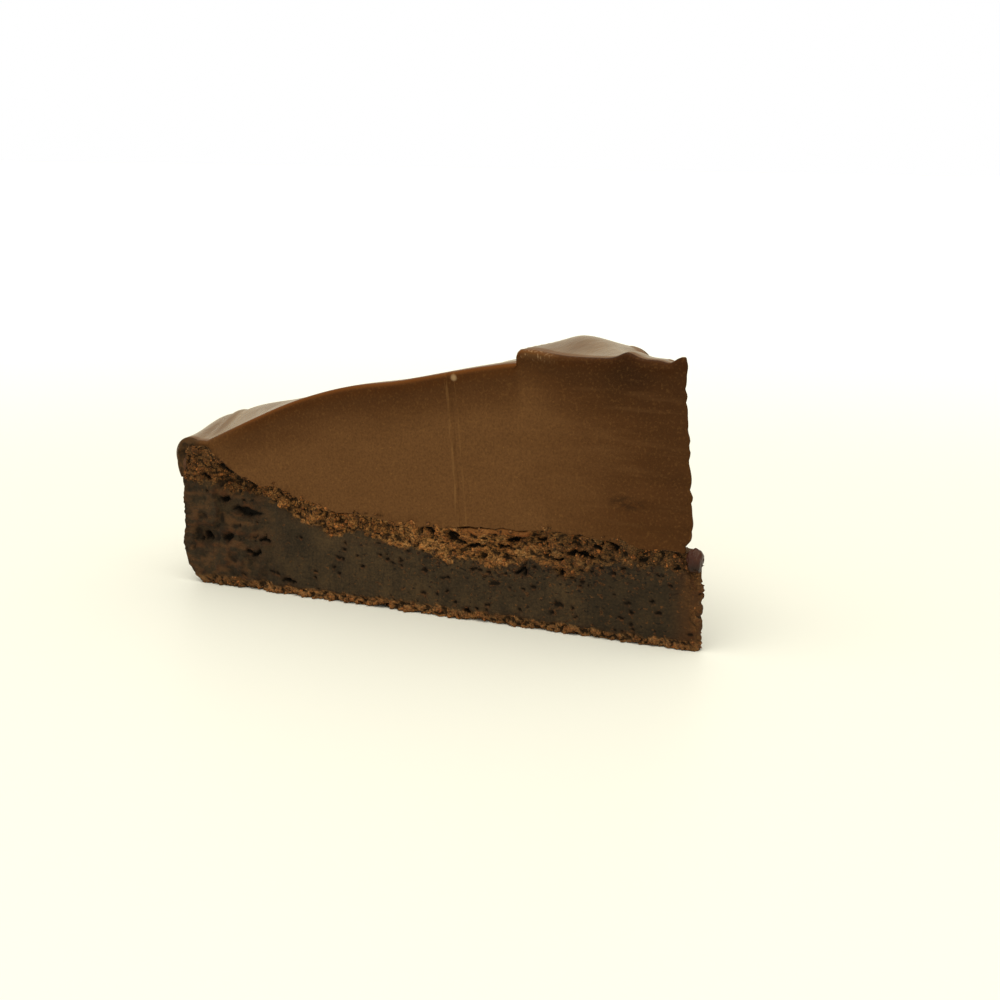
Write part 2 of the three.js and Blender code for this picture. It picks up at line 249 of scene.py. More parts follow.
# %% Wedge builder
class Wedge:
    """The wall's columns, from the nose at 0 out to the last, and its places across, -1 to 1."""

    def __init__(self, columns, far_skip, side, up):
        self.near = columns
        self.far_skip = far_skip
        self.side = side
        far = columns[::far_skip]
        across = np.linspace(-1, 1, side + 1)[1:-1]
        self.column = np.concatenate([columns, np.full(side - 1, columns[-1]), far[:0:-1]])
        self.across = np.concatenate([-np.ones(len(columns)), across, np.ones(len(far) - 1)])
        self.up = up
        self.width = len(self.column)

    def wall(self):
        """Column, height share and place across of every wall point, row by row."""
        rows = len(self.up)
        return np.tile(self.column, rows), np.repeat(self.up, self.width), np.tile(self.across, rows)

    def edge_index(self, column, across_step, row):
        """Index of the wall point on the near cut, far cut or outer side."""
        start = row * self.width
        if across_step == 0:
            return start + column
        if column == len(self.near) - 1:
            return start + column + across_step
        return start if column == 0 else start + self.width - column // self.far_skip

    def wall_faces(self):
        here = np.arange(self.width)
        after = (here + 1) % self.width
        base = np.arange(len(self.up) - 1)[:, None] * self.width
        quads = np.stack([base + here, base + self.width + here, base + self.width + after,
                          base + after], -1)
        return quads.reshape(-1, 4).tolist()

    def cap(self, row, skip, cells, first):
        """Faces and inner places of the top or underside, whose inner points start at `first`."""
        stops = np.arange(0, len(self.near), skip)
        wide = self.side // cells
        last = stops[-1]
        inner = {(i, m): first + n for n, (i, m) in enumerate(
            (i, m) for i in stops[1:-1] for m in range(1, cells))}

        def point(i, m):
            return inner.get((i, m)) or self.edge_index(i, m * wide, row)

        faces = []
        for i, j in zip(stops[:-1], stops[1:]):
            for m in range(cells):
                near = range(i, j + 1) if m == 0 else (i, j)
                near = [point(k, m) if m else self.edge_index(k, 0, row) for k in near]
                far = [point(i, m + 1), point(j, m + 1)]
                if m == cells - 1:
                    far = [self.edge_index(k, self.side, row) for k in range(i, j + 1, self.far_skip)]
                end = range(m * wide + 1, (m + 1) * wide) if j == last else ()
                end = [self.edge_index(j, k, row) for k in end]
                face = list(dict.fromkeys(near + end + far[::-1]))
                faces.append(face if row == 0 else face[::-1])
        column, across = np.array([(self.near[i], 2 * m / cells - 1) for i, m in inner]).T
        return column, across, faces


print("a small wedge has", Wedge(np.linspace(0, 1, 5), 2, 4, np.linspace(0, 1, 3)).width, "points round it")

# %% [markdown]
# ## From points to an object
# A place looks dark when it lies deeper than what is round it. So a value of the wall is compared
# with the average of its neighbours, which the grid makes easy. Such numbers are kept on the mesh
# beside its points, where the materials and the scattered crumbs can read them.

# %% Averages and skins
def blurred(values, rows, reach):
    """A wall value averaged over its neighbours, so that a dip or a crest stands out from it."""
    field = values.reshape(rows, -1)
    steps = range(-reach, reach + 1)
    field = sum(np.roll(field, step, 1) for step in steps) / len(steps)
    field = sum(field[np.clip(np.arange(rows) + step, 0, rows - 1)] for step in steps) / len(steps)
    return field.ravel()


def skin_object(name, points, faces, values):
    """A mesh in metres with its point values."""
    mesh = bpy.data.meshes.new(name)
    mesh.from_pydata((points * MM).tolist(), [], faces)
    for key, numbers in values.items():
        mesh.attributes.new(key, "FLOAT", "POINT").data.foreach_set("value", numbers.astype(np.float32))
    mesh.shade_smooth()
    mesh.validate()
    piece = bpy.data.objects.new(name, mesh)
    bpy.context.scene.collection.objects.link(piece)
    return piece


# %% [markdown]
# ## The crumb of the cake
# Three kinds of crumb show at a cut. Where the knife pressed it, it is nearly flat, with small
# pits. The crust is made of rounded crumbs that hang together in clusters. In the middle of the
# slice it was torn open, which leaves sharp level ridges with hollows between them. A bump in the
# material could not shade such deep holes, so each kind is real shape: every wall point moves
# level, out from the cut or into it.

# %% Kinds of crumb
def clustered(points):
    """Rounded crumbs, small ones on large ones."""
    large = crumb_layer(warped(points, 1.5, 0.45, 11), 2.5, 20)
    small = crumb_layer(warped(points, 0.7, 0.2, 14), 1.05, 30)
    return 0.75 * large + 0.7 * small - 0.65


def torn_open(points):
    """Sharp level ridges with hollows between them."""
    flat = warped(points, 1.4, 0.6, 50) / (1.5, 1.5, 0.8)
    ridges = sum(height * (1 - np.abs(2 * bumps(flat, size, seed) - 1))
                 for size, height, seed in ((1.7, 0.9, 67), (0.8, 0.6, 58), (0.4, 0.3, 54)))
    hollows = 0.8 * pores(flat, 2.3, 40, 0.45) + 0.5 * pores(flat, 1.1, 45, 0.5)
    return 1.1 * ridges - 1.3 - hollows


def pits(points, crowding):
    """Small level pits in a share of the places, up to 1 in the middle of each."""
    uneven = warped(points, 0.6, 0.35, 43) / (1.6, 1.6, 0.8)
    small = pores(uneven, 1.3, 44, crowding, 0.38)
    return np.maximum(small, pores(uneven + (0, 0, 7), 2.4, 46, 0.7 * crowding, 0.34))


print("crumb stands out by", round(clustered(SAMPLE).max(), 2), "mm, torn crumb by",
      round(torn_open(SAMPLE).max(), 2), "mm, and pits take", round((pits(SAMPLE, 0.3) > 0).mean(), 3))

# %% [markdown]
# ## Gashes
# A knife drags large bubbles open into gashes. There are only a few of them and each one catches
# the eye, so they aren't left to chance: each has its own place and size. Soft bumps bend their
# outlines, so that none is a clean oval.

# %% Gashes of the cut
# Each gash: radius, depth below the cake's top, half length and half height. Most were picked out
# one by one, and another script turned them into millimetres. The rest were added later.
GASHES = [
    (6.6, 3, 0.8, 0.6), (14, 2.5, 1, 0.5), (20, 1.1, 1.8, 0.4), (22.8, 1.9, 1, 0.8),
    (27, 4, 3, 0.5), (29.7, 8, 0.9, 0.6), (31, 5.7, 1.7, 0.4), (34.5, 2.2, 1.6, 0.5),
    (38, 8.2, 1, 0.4), (39.8, 1.9, 1.2, 0.5), (41.7, 3.7, 1.8, 0.6), (48.6, 3.4, 2.2, 0.5),
    (52.6, 1.9, 1.8, 1.5), (57.5, 1.3, 2.2, 1), (59.8, 0.3, 1.4, 0.5), (77.8, 0.2, 2.6, 0.6),
    (100.7, 7.6, 4.4, 0.9), (104, 14.8, 1.4, 0.7), (105.3, 8.1, 1.8, 0.6), (105.9, 1.5, 2.2, 0.9),
    (109.6, 5.3, 1.3, 0.8), (110.5, 18.3, 1.2, 0.7), (95.5, 11.5, 1.2, 0.6), (98, 15, 1.6, 0.5),
    (49.5, 16, 0.9, 0.5), (68.1, 17.2, 1.2, 0.8), (73, 17, 1.2, 0.4), (90, 17.6, 2, 0.5),
]
GASH_DEPTH = 1.5


def gashes(points, along):
    """How deep the largest gashes go in, from 0 to 1."""
    pushed = warped(points, 1.6, 0.8, 7) - points + warped(points, 0.6, 0.4, 17) - points
    deep = np.zeros(len(points))
    for radius, depth, half_length, half_height in GASHES:
        level = cake_top(radius) - depth
        away = np.hypot((along + 1.6 * pushed[:, 0] - radius) / half_length,
                        (points[:, 2] + 0.8 * pushed[:, 2] - level) / half_height)
        deep = np.maximum(deep, smooth(1.15, 0.5, away))
    return deep


print(len(GASHES), "gashes, the longest", 2 * max(gash[2] for gash in GASHES), "mm long")

# %% [markdown]
# ## The cake layer
# One function now lays these kinds of crumb over a cut: crust on top and along the foot, pressed
# crumb between them, and coarse crumb by the rim. It also notes how crumbly and coarse each place
# is, and where the lower rims of pits face up to take painted light, which the material needs later.
# Each cut has its own crumb, so the far one reads the gashes some way along.

# %% Sizes of the crumb, and the seam
CRUST_DEPTH = 1.7
CRAG_SIZE = 3.6
FOOT_CRUST = 1.8
HOLE_SIZE = 5
HOLE_DEPTH = 1.2
HOLES_START = 88
FAR_SHIFT = 9
TIP_SINK = 2.2


def seam(points):
    """How far the line between cake and mousse rises or dips at a cut."""
    plan = points * (1, 1, 0)
    return 0.8 * (bumps(plan, 4, 200) - 0.5) + 0.5 * (bumps(plan, 1.3, 201) - 0.5)


def parting(along):
    """Where the mousse has come away from the cake at the cut, from 0 to 1."""
    return smooth(0.25, 0.5, bell(along - 45, 9))


def overlap(points, along):
    """How far crumbs of the crust hang up over the mousse's edge, in millimetres."""
    plan = points * (1, 1, 0)
    crowd = mix(bumps(plan, 2.6, 220), bumps(plan, 1.1, 221), 0.5)
    return 0.7 * smooth(0.45, 0.75, crowd) * (1 - parting(along)) * smooth(6, 20, along)


print("the crust is", round(float(changed(CRUST_BAND, BAND_CHANGES, 60)), 1), "mm thick half way out")

# %% [markdown]
# ## What adds up to the cut
# The relief of a cut is a sum: large crags and holes, the crumbs of the crust, and the pressed crumb
# between. Each is worked out everywhere and fades in only where it belongs, so no line shows where
# one meets the next.

# %% Crags, crust and pressed crumb
def large_relief(points, radius, top, band_edge, by_rim):
    """The crags and holes that the solids have too."""
    z = points[:, 2]
    crags = mix(bumps(points, CRAG_SIZE), bumps(points, CRAG_SIZE / 2), 0.4)
    under_top = 1 - 0.75 * smooth(top - 1.2, top, z)
    in_band = smooth(band_edge - 1, band_edge + 1, z)
    dents = bumps(warped(points, 3, 0.8, 15), HOLE_SIZE)
    holes = smooth(0.52, 0.75, dents) * smooth(HOLES_START, 100, radius)
    foot = smooth(FOOT_CRUST, 0, z)
    crust = CRUST_DEPTH * in_band * smooth(0.25, 0.8, crags) * by_rim
    sunk = under_top * (crust + HOLE_DEPTH * holes)
    foot_holes = pores(warped(points, 1.2, 0.5, 92), 2.8, 91, 0.35)
    ragged = foot * by_rim * (1.5 * (crags - 0.5) - 1.1 * foot_holes)
    return 0.3 * (bumps(points, 10) - 0.5) + ragged - sunk


def crust_crumb(points, along, lumps, foot_crust, by_rim):
    """Crumbs of the crust, and how far they are torn open, from 0 to 1."""
    by_tip = smooth(24, 10, along)
    opened = smooth(72, 58, along) * smooth(10, 22, along) * (1 - foot_crust)
    crumb = mix(lumps, torn_open(points), opened) * (1 - 0.35 * by_tip)
    crumb += foot_crust * (1.1 * crumb_layer(warped(points, 1.2, 0.4, 94), 2.2, 95) - 0.35)
    return crumb * (1 - foot_crust * (1 - by_rim)), opened


def pressed_crumb(points):
    """Crumb that the knife pressed flat, of two kinds: soft and open, and fine."""
    soft = 0.9 * (bumps(warped(points, 2, 0.8, 60), 2.4, 63) - 0.5)
    soft = soft + 0.5 * (bumps(points, 1.1, 64) - 0.5)
    fine = 0.12 * (bumps(points, 1.4, 9) - 0.5) + 0.08 * (bumps(points, 0.6, 10) - 0.5)
    return soft - 0.5 * pores(warped(points, 1.5, 0.6, 65), 2.6, 66, 0.35), fine


# %% [markdown]
# ## The whole cut
# Here the kinds of crumb come together. The notes that the function gives back are numbers from 0 to
# 1 for each place, such as how crumbly it is. Relief that goes in may not pass the middle of the
# slice, which matters only by the tip, where the slice is thin.

# %% How the cut stands out
def cut_relief(points, radius, top):
    """Relief of a cut face, and notes on how it looks."""
    z = points[:, 2]
    along = radius + FAR_SHIFT * (points[:, 1] > 0)
    by_rim = smooth(113, 106, radius)
    depth = changed(CRUST_BAND, BAND_CHANGES, radius)
    band_edge = top - depth + 1.6 * (bumps(points, 9) - 0.5)
    relief = large_relief(points, radius, top, band_edge, by_rim)

    lumps = clustered(points)
    edge = 2.2 * (bumps(points, 2.8, 5) - 0.5) + 1.2 * (bumps(points, 0.9, 6) - 0.5) + 0.8 * lumps
    torn_down = 2.4 * bell(along - 28.5, 4) + 1 * bell(along - 46, 6)
    crust = smooth(band_edge - 0.35, band_edge + 0.35, z + edge + torn_down)
    foot_crust = smooth(FOOT_CRUST + 0.25, FOOT_CRUST - 0.25, z - 0.45 * edge)
    crumbly = np.maximum(crust, foot_crust)
    coarse = smooth(HOLES_START, 103, radius)
    crumb, opened = crust_crumb(points, along, lumps, foot_crust, by_rim)
    relief += crumbly * crumb + 0.4 * smooth(58, 66, along) * smooth(top - 1.8, top - 0.5, z)
    relief += 0.8 * smooth(106, 111, radius) * smooth(19, 23, z)
    soft, fine = pressed_crumb(points)
    relief += coarse * (1 - crumbly) * soft
    relief += (1 - crumbly) * fine

    beside = 1 - smooth(0.2, 0.6, bell(along - 52.5, 2))
    lip = parting(along) * smooth(top - 1.6, top - 1, z + 0.4 * edge) * beside
    relief = mix(relief, 0.2 * crumb - 0.1, lip)
    gash = gashes(points, along)
    relief -= GASH_DEPTH * gash

    flecked = bell(band_edge - torn_down - z, 3) * smooth(80, 50, along)
    crowding = 0.14 + 0.14 * smooth(85, 55, along) * smooth(4, 12, along) + 0.25 * flecked
    pit, above = pits(points, crowding), pits(points + (0, 0, 0.3), crowding)
    relief -= 0.7 * (1 - crumbly) * pit
    worn = smooth(6.5, 3.5, radius) * smooth(0.25, 0.55, bumps(points, 1.2, 78))
    relief += 0.9 * smooth(5, 2.5, radius) * (bumps(points * (1, 1, 2), 1.8, 79) - 0.5)
    relief += 0.5 * worn * (1 - crumbly) * lumps
    notes = {
        "crumbly": np.maximum(crumbly, 0.6 * worn), "coarse": coarse, "foot": foot_crust,
        # fringe marks the upward-facing lower rims of pits, which the material paints lighter as painted
        # light
        "fringe": (1 - crumbly) * np.clip(above - pit, 0, 1), "lip": lip, "gash": gash,
        "flecked": flecked, "rounded": crumbly * (1 - opened) * (1 - 0.6 * foot_crust),
    }
    room = 0.45 * radius * math.sin(HALF_ANGLE)
    return np.maximum(relief, -room), notes


trial = place(np.array([60.0]), -HALF_ANGLE, np.array([12.0]))
print("a place on the cut stands out by", cut_relief(trial, np.array([60.0]), 18.0)[0][0].round(2), "mm")

# %% [markdown]
# ## The baked side
# The side lay against the tin. It is plain baked crumb, rounder and more even than a cut. Where the
# mousse hangs over it, it only goes in, so that no crumb pokes through the mousse.

# %% How the side stands out
def side_relief(points):
    """Relief of the baked side. Under the mousse's skirt it only goes in."""
    crags = bumps(points, CRAG_SIZE)
    lumps = 1.3 * (bumps(points, 7) - 0.5) + 0.8 * (crags - 0.5)
    torn = warped(points, 1.3, 0.4, 61)
    fine = crumb_layer(torn, 1.5, 70) + 0.6 * crumb_layer(torn, 0.75, 80)
    hollows = pores(torn, 2.4, 75, 0.3)
    under_skirt = smooth(SKIRT_BOTTOM - 6, SKIRT_BOTTOM - 2.5, points[:, 2])
    plain = mix(lumps + 0.5, -0.2 * crags, under_skirt)
    return plain + (1 - 0.7 * under_skirt) * (0.35 * (np.minimum(fine, 1.1) - 0.9) - 0.7 * hollows)


print("the side stands out by up to", round(side_relief(SAMPLE).max(), 2), "mm")

# %% [markdown]
# ## Every point of the cake
# A point is first placed on the plain wedge, from its column, row and place across. Then it moves
# level by its relief: square to the cut, or outwards on the baked side. Near the top of a cut it
# also rises or dips with the seam. Rows lie closer at the top, where the crust needs them.

# %% Place the cake's points
NOSE_TO_CUT = TIP_ROUNDING * (1 + 1 / math.tan(HALF_ANGLE) - 1 / math.sin(HALF_ANGLE))
TOP_ROWS_CLOSER = 0.09


def column_radius(column, nose, end):
    """Radius at a column: 0 to 1 rounds the nose, 1 to 2 runs out along the cut."""
    round_the_nose = NOSE_TO_CUT * (1 - np.cos(np.minimum(column, 1) * math.pi / 2))
    return nose + round_the_nose + (end - nose - NOSE_TO_CUT) * np.clip(column - 1, 0, 1)


def outward(column, across):
    """Level direction that a wall faces: round the nose, then square to the cut."""
    facing = np.sign(across) * (math.pi / 2 - HALF_ANGLE) * np.minimum(column, 1)
    return np.stack([np.cos(facing), np.sin(facing), 0 * facing], -1)


def cake_points(column, up, across, on_wall):
    up = up + TOP_ROWS_CLOSER * np.sin(math.pi * up)
    top_radius = column_radius(column, CAKE_NOSE, RIM_INNER)
    top = cake_top(top_radius) - TIP_SINK * smooth(5, 3.6, top_radius)
    z = up * top
    radius = column_radius(column, CAKE_NOSE, side_radius(up * RIM_HEIGHT))
    turn = across * HALF_ANGLE * np.sin(np.minimum(column, 1) * math.pi / 2)
    points = place(radius, turn, z)
    if not on_wall:
        return points, {}
    cut, notes = cut_relief(points, radius, top)
    on_cut = np.where(column < 2, 1.0, smooth(0.95, 1, np.abs(across)))
    on_side = smooth(1.987, 2, column)
    side = side_relief(points)
    side_normal = np.stack([-np.cos(turn), np.sin(turn), 0 * turn], -1)
    moved = points + outward(column, across) * (cut * on_cut)[:, None]
    moved += side_normal * (side * on_side)[:, None]
    hang = overlap(points, radius + FAR_SHIFT * (points[:, 1] > 0)) * on_cut * (np.abs(across) == 1)
    moved[:, 2] += seam(points) * on_cut * smooth(top - 3, top, z) + hang * smooth(top - 2, top, z)
    moved += outward(column, across) * (0.3 * np.minimum(hang, 1) * smooth(top - 1, top, z))[:, None]
    moved[:, 2] += 0.3 * smooth(0.5, 0, z) * bumps(points, 1.2, 90)
    notes = {name: value * on_cut for name, value in notes.items()}
    notes["crumbly"] += SIDE_CRUMBLY * (1 - on_cut)
    notes["relief"] = cut * on_cut + side * on_side
    return moved, notes


print("the cut leaves the nose", round(NOSE_TO_CUT, 2), "mm further out")

# %% [markdown]
# ## Making the cake
# The near cut gets a column every fifth of a millimetre, because the smallest crumbs are not much
# larger. The far cut gets half as many. Top and underside are hidden, so they get few cells. How
# hollow or raised each place is comes from two averages, a close one and a wide one.

# %% Make the cake's wall
NOSE_COLUMNS, CUT_COLUMNS, SIDE_COLUMNS, CAKE_ROWS = 8, 552, 192, 81
CAP_CELLS = 8
SIDE_CRUMBLY = 0.8

nose_columns = np.linspace(0, 1, NOSE_COLUMNS + 1)[:-1]
cut_columns = np.linspace(1, 2, CUT_COLUMNS + 1)
cake_wedge = Wedge(np.concatenate([nose_columns, cut_columns]), 2, SIDE_COLUMNS,
                   np.linspace(0, 1, CAKE_ROWS + 1))
column, up, across = cake_wedge.wall()
wall, cake_values = cake_points(column, up, across, True)
rows = len(cake_wedge.up)
relief = cake_values.pop("relief")
close, wide = blurred(relief, rows, 2) - relief, blurred(relief, rows, 6) - relief
# hollow drives painted shade in the crumb's colour and raised drives painted highlight; hollow also keeps
# loose crumbs out
cake_values["hollow"] = np.clip(close / 0.22, 0, 1) * 0.5 + np.clip(wide / 0.6, 0, 1) * 0.7
cake_values["raised"] = np.clip(-close / 0.15, 0, 1) * 0.6 + np.clip(-wide / 0.45, 0, 1) * 0.4
print("the wall's relief runs from", relief.min().round(1), "to", relief.max().round(1), "mm")

# %% Close the cake
inner_points = []
faces = cake_wedge.wall_faces()
first = len(wall)
for row in (0, rows - 1):
    inner_column, inner_across, cap_faces = cake_wedge.cap(row, CAP_CELLS, CAP_CELLS, first)
    level = np.full(len(inner_column), float(row > 0))
    inner_points.append(cake_points(inner_column, level, inner_across, False)[0])
    faces += cap_faces
    first += len(inner_column)
points = np.concatenate([wall] + inner_points)
for key, numbers in cake_values.items():
    on_caps = np.full(len(points) - len(wall), SIDE_CRUMBLY if key == "crumbly" else 0.0)
    cake_values[key] = np.concatenate([numbers, on_caps])
cake = skin_object("cake", points, faces, cake_values)
on_wall = np.arange(len(faces)) < (rows - 1) * cake_wedge.width
cake.data.attributes.new("wall", "BOOLEAN", "FACE").data.foreach_set("value", on_wall)
print("cake:", len(cake.data.vertices), "points,", len(cake.data.polygons), "faces")

# %% [markdown]
# ## The mousse
# Mousse is cut cleanly, so its sides are smooth: a knife line runs down one, and the sharp tip has
# small teeth where the blade let go. Its top keeps the strokes of the palette knife. The same kind
# of skin is used, with fine cells on top as well, because the whole top shows.

# %% Where the mousse lies
DOME_END, LAP_END, SKIRT_END = 2, 3, 4
EDGE_ROUNDING = 0.7
SUNK = 0.2
CRACK = 0.4
KNIFE_LINE, KNIFE_LEAN = 49.7, 0.1
FOLD_LIP, FOLD_TUCK = 0.35, 0.8


def nose_radius(up):
    notch = NOTCH * smooth(NOTCH_SHARE, 0, up)
    return mix(MOUSSE_NOSE_BOTTOM, MOUSSE_NOSE_TOP, up) + notch


def mousse_turn(column, across, radius, nose):
    """Turn of a place across the mousse, whose tip lies close to the near cut."""
    full = radius * math.sin(2 * HALF_ANGLE)
    taken = (nose * math.sin(2 * HALF_ANGLE) - TIP_ROUNDING) * smooth(TIP_TAPER, nose, radius)
    width = np.arcsin((full - taken) / radius)
    spread = np.sin(np.minimum(column, 1) * math.pi / 2)
    return (0.5 + 0.5 * across * spread) * width - HALF_ANGLE, radius * np.sin(width / 2)


def skirt_bottom(turn):
    return SKIRT_BOTTOM + 0.9 * np.sin(turn * 21) + 0.6 * np.sin(turn * 47 + 1)


trial = mousse_turn(np.array([2.0]), np.array([1.0]), np.array([60.0]), MOUSSE_NOSE_BOTTOM)
print("half way out the mousse is", 2 * trial[1].round(1)[0], "mm wide")

# %% [markdown]
# ## What the knives left
# The cake knife drags the mousse along: it leaves faint waves, one upright line on the near cut, and
# small teeth down the sharp tip, where the blade let go. The palette knife folded the top over once.
# The fold's edge hangs over, and was pulled down over the cut beside it.

# %% Knife marks
def teeth(z):
    """The small teeth on the tip's edge, 3 to 4 mm apart."""
    phase = ((z + 0.9 * np.sin(z * 0.7 - 0.8)) / 3.6 - 0.3) % 1
    return 0.45 * (1 - np.abs(2 * phase - 1) ** 1.6)


def cut_waves(points, radius, z, near):
    """What the blade left on a cut of the mousse: drag waves, and one line on the near side."""
    drag = points @ np.array([[1, 0, 0], [0, 1, 0], [-0.06, 0, 1]]).T
    waves = (bumps(drag, np.array([16, 16, 2.2]), 101) - 0.5) * mix(0.12, 0.4, smooth(55, 15, radius))
    knife = radius - KNIFE_LINE - KNIFE_LEAN * z
    line = 0.13 * bell(knife, 0.3) - 0.13 * bell(knife + 0.6, 0.35) + 0.08 * bell(knife + 1.9, 0.3)
    return waves + near * line


def dragged(radius, below, near):
    """Where the folded edge was dragged down over the near cut, from 0 to 1."""
    return near * smooth(30.5, 34, radius) * smooth(39.4, 37.6, radius) * smooth(2.4, 0.8, below)


def beyond_fold(radius, turn):
    """Distance outwards from the crest of the fold, which is the first stroke."""
    _, middle, at_turn, drift, *_ = STROKES[0]
    return radius - middle - drift * (np.degrees(turn) - at_turn)


def fold_lip(radius, turn, below):
    """How far the folded edge hangs over outwards."""
    away = beyond_fold(radius, turn)
    hangs = FOLD_LIP * bell(away - 0.6, 0.5) - FOLD_TUCK * bell(away - 1.6, 0.65)
    return hangs * smooth(1.8, 0.5, below)


print("the teeth stand out by", teeth(np.linspace(20, 50, 200)).max().round(2), "mm")

# %% [markdown]
# ## The dome and the lap
# The wall of the mousse stands on the cake and reaches up to the spread top. Past the rim it turns
# over and down, and becomes the lap. Its lower end hangs free as a thin skirt. So the same wall
# serves for both: columns up to 2 make the dome, 2 to 3 turn over the rim, and 3 to 4 hang.

# %% Points of the dome
def dome_points(column, up, across):
    under = column_radius(column, nose_radius(0), RIM_INNER)
    radius = column_radius(column, nose_radius(up), RIM_INNER)
    over = column_radius(column, nose_radius(1), RIM_INNER)
    turn, half_width = mousse_turn(column, across, radius, nose_radius(up))
    top = mousse_top(over, mousse_turn(column, across, over, nose_radius(1))[0])
    edge = place(under, turn, 0 * under)
    open_by = SUNK + CRACK * mix(0.1, 1.5, bumps(edge, 2.4, 205))
    lifted = seam(edge) + open_by * parting(under + FAR_SHIFT * (across > 0))
    bottom = cake_top(under) - SUNK + lifted * smooth(0.7, 1, np.abs(across))
    z = mix(bottom, top, up)
    points = place(radius + fold_lip(radius, turn, top - z), turn, z)
    on_cut = smooth(0.98, 1, np.abs(across))
    rolled = EDGE_ROLL * smooth(top - EDGE_ROLL_DEPTH, top, z) * smooth(DOME_END, DOME_END - 0.14, column)
    rounding = np.minimum(EDGE_ROUNDING, 0.4 * half_width) * np.abs(across)
    short = share(top - EDGE_ROUNDING, top, z)
    rounded = rounding * (1 - np.sqrt(1 - short**2))
    waves = cut_waves(points, radius, z, across < 0) * smooth(top, top - 2, z)
    slanted = bumps(points @ np.array([[1, 0, 0.7], [0, 1, 0], [0, 0, 1]]).T, (0.7, 0.7, 3), 110)
    waves += dragged(radius, top - z, across < 0) * (0.35 + 0.4 * (slanted - 0.5)) * smooth(0, 0.5, top - z)
    points += outward(np.where(across == 0, 1, column), across) * (
        (rolled + waves) * on_cut - rounded)[:, None]
    tip = teeth(z) * smooth(1.015, 0.9, column) * smooth(top, top - 1.5, z)
    points[:, 0] += tip - 0.25 * smooth(1.02, 0.9, column)
    away = beyond_fold(radius, turn)
    notes = {"depth": top - z, "inset": (1 - np.abs(across)) * half_width, "smeared": 0 * z,
             "dragged": dragged(radius, top - z, across < 0),
             "flank": smooth(-0.5, 0.3, away) * smooth(10, 5, away) * smooth(16, 4, np.degrees(turn))}
    return points, notes


trial = dome_points(np.array([1.5]), np.array([1.0]), np.array([0.0]))[0]
print("a place on top:", trial.round(1).tolist()[0], "mm")


# %% Points of the lap
def lap_points(column, up, across):
    turn = across * HALF_ANGLE
    lap, skirt = share(DOME_END, LAP_END, column), share(LAP_END, SKIRT_END, column)
    angle = (1 - lap) * math.pi / 2
    on_top = mousse_top(RIM_INNER, turn) - RIM_HEIGHT
    thickness = mix(on_top, LAP_THICKNESS, lap) + LAP_SWELL * np.sin(2 * angle)
    out = RIM_ROUNDING + mix(-SUNK, thickness, up)
    radius = RIM_INNER + out * np.cos(angle) - up * SKIRT_THIN * skirt**2
    corner = mix(RIM_CORNER, skirt_bottom(turn), skirt)
    points = place(radius, turn, corner + out * np.sin(angle))
    rounding = EDGE_ROUNDING * np.abs(across) * (1 - np.sqrt(1 - share(0.5, 1, up) ** 2))
    smeared = (np.abs(across) == 1) * smooth(0.35, 1.1, (1 - up) * thickness) * smooth(0, 0.15, lap)
    lumps = 1.2 * (bumps(points, 1.9, 120) - 0.45) + 0.7 * (bumps(points, 0.8, 121) - 0.5)
    points += outward(1 + 0 * column, across) * (smeared * lumps - rounding)[:, None]
    notes = {"depth": (1 - up) * thickness, "inset": (1 - np.abs(across)) * 34, "smeared": smeared,
             "dragged": 0 * up, "flank": 0 * up}
    return points, notes


def mousse_points(column, up, across):
    dome, dome_notes = dome_points(np.minimum(column, DOME_END), up, across)
    lap, lap_notes = lap_points(np.maximum(column, DOME_END), up, across)
    on_lap = column > DOME_END
    notes = {key: np.where(on_lap, lap_notes[key], dome_notes[key]) for key in dome_notes}
    return np.where(on_lap[:, None], lap, dome), notes


print("the skirt ends", round(float(skirt_bottom(0.0)), 1), "mm above the floor")

# %% [markdown]
# ## Making the mousse
# Mousse is smooth, so its wall needs fewer columns than the crumb does. Its rows lie closer at both
# ends, where it bends. The top gets as many cells across as the outer side, because all of it shows.

# %% Make the mousse
MOUSSE_ROWS, MOUSSE_SIDE = 84, 96
even = np.linspace(0, 1, MOUSSE_ROWS + 1)
rows_up = even - 0.65 * np.sin(2 * math.pi * even) / (2 * math.pi)
mousse_columns = np.concatenate([
    np.linspace(0, 1, 9)[:-1], np.linspace(1, DOME_END, 361)[:-1],
    np.linspace(DOME_END, LAP_END, 25)[:-1], np.linspace(LAP_END, SKIRT_END, 9),
])
mousse_wedge = Wedge(mousse_columns, 2, MOUSSE_SIDE, rows_up)
column, up, across = mousse_wedge.wall()
wall, notes = mousse_points(column, up, across)
points, all_notes = [wall], [notes]
faces = mousse_wedge.wall_faces()
wall_count = len(faces)
first = len(wall)
for row, skip, cap_cells in ((0, 4, CAP_CELLS), (MOUSSE_ROWS, 2, MOUSSE_SIDE)):
    inner_column, inner_across, cap_faces = mousse_wedge.cap(row, skip, cap_cells, first)
    level = np.full(len(inner_column), float(row > 0))
    inner, notes = mousse_points(inner_column, level, inner_across)
    points.append(inner)
    all_notes.append(notes)
    faces += cap_faces
    first += len(inner_column)
mousse_values = {key: np.concatenate([part[key] for part in all_notes]) for key in notes}
mousse = skin_object("mousse", np.concatenate(points), faces, mousse_values)
print("mousse:", len(mousse.data.vertices), "points,", len(mousse.data.polygons), "faces")

# %% [markdown]
# ## The dab on the tip
# A little chocolate clings to the top corner of the cake's tip. It is a soft lump of about 4 mm
# that took the shape of what it fell on, so a ball is pressed out of shape by soft bumps.

# %% Dab
DAB_RADIUS, DAB_TURN, DAB_HEIGHT = 3.7, -0.14, 16.8
DAB_SIZE = (1.7, 1.8, 2)

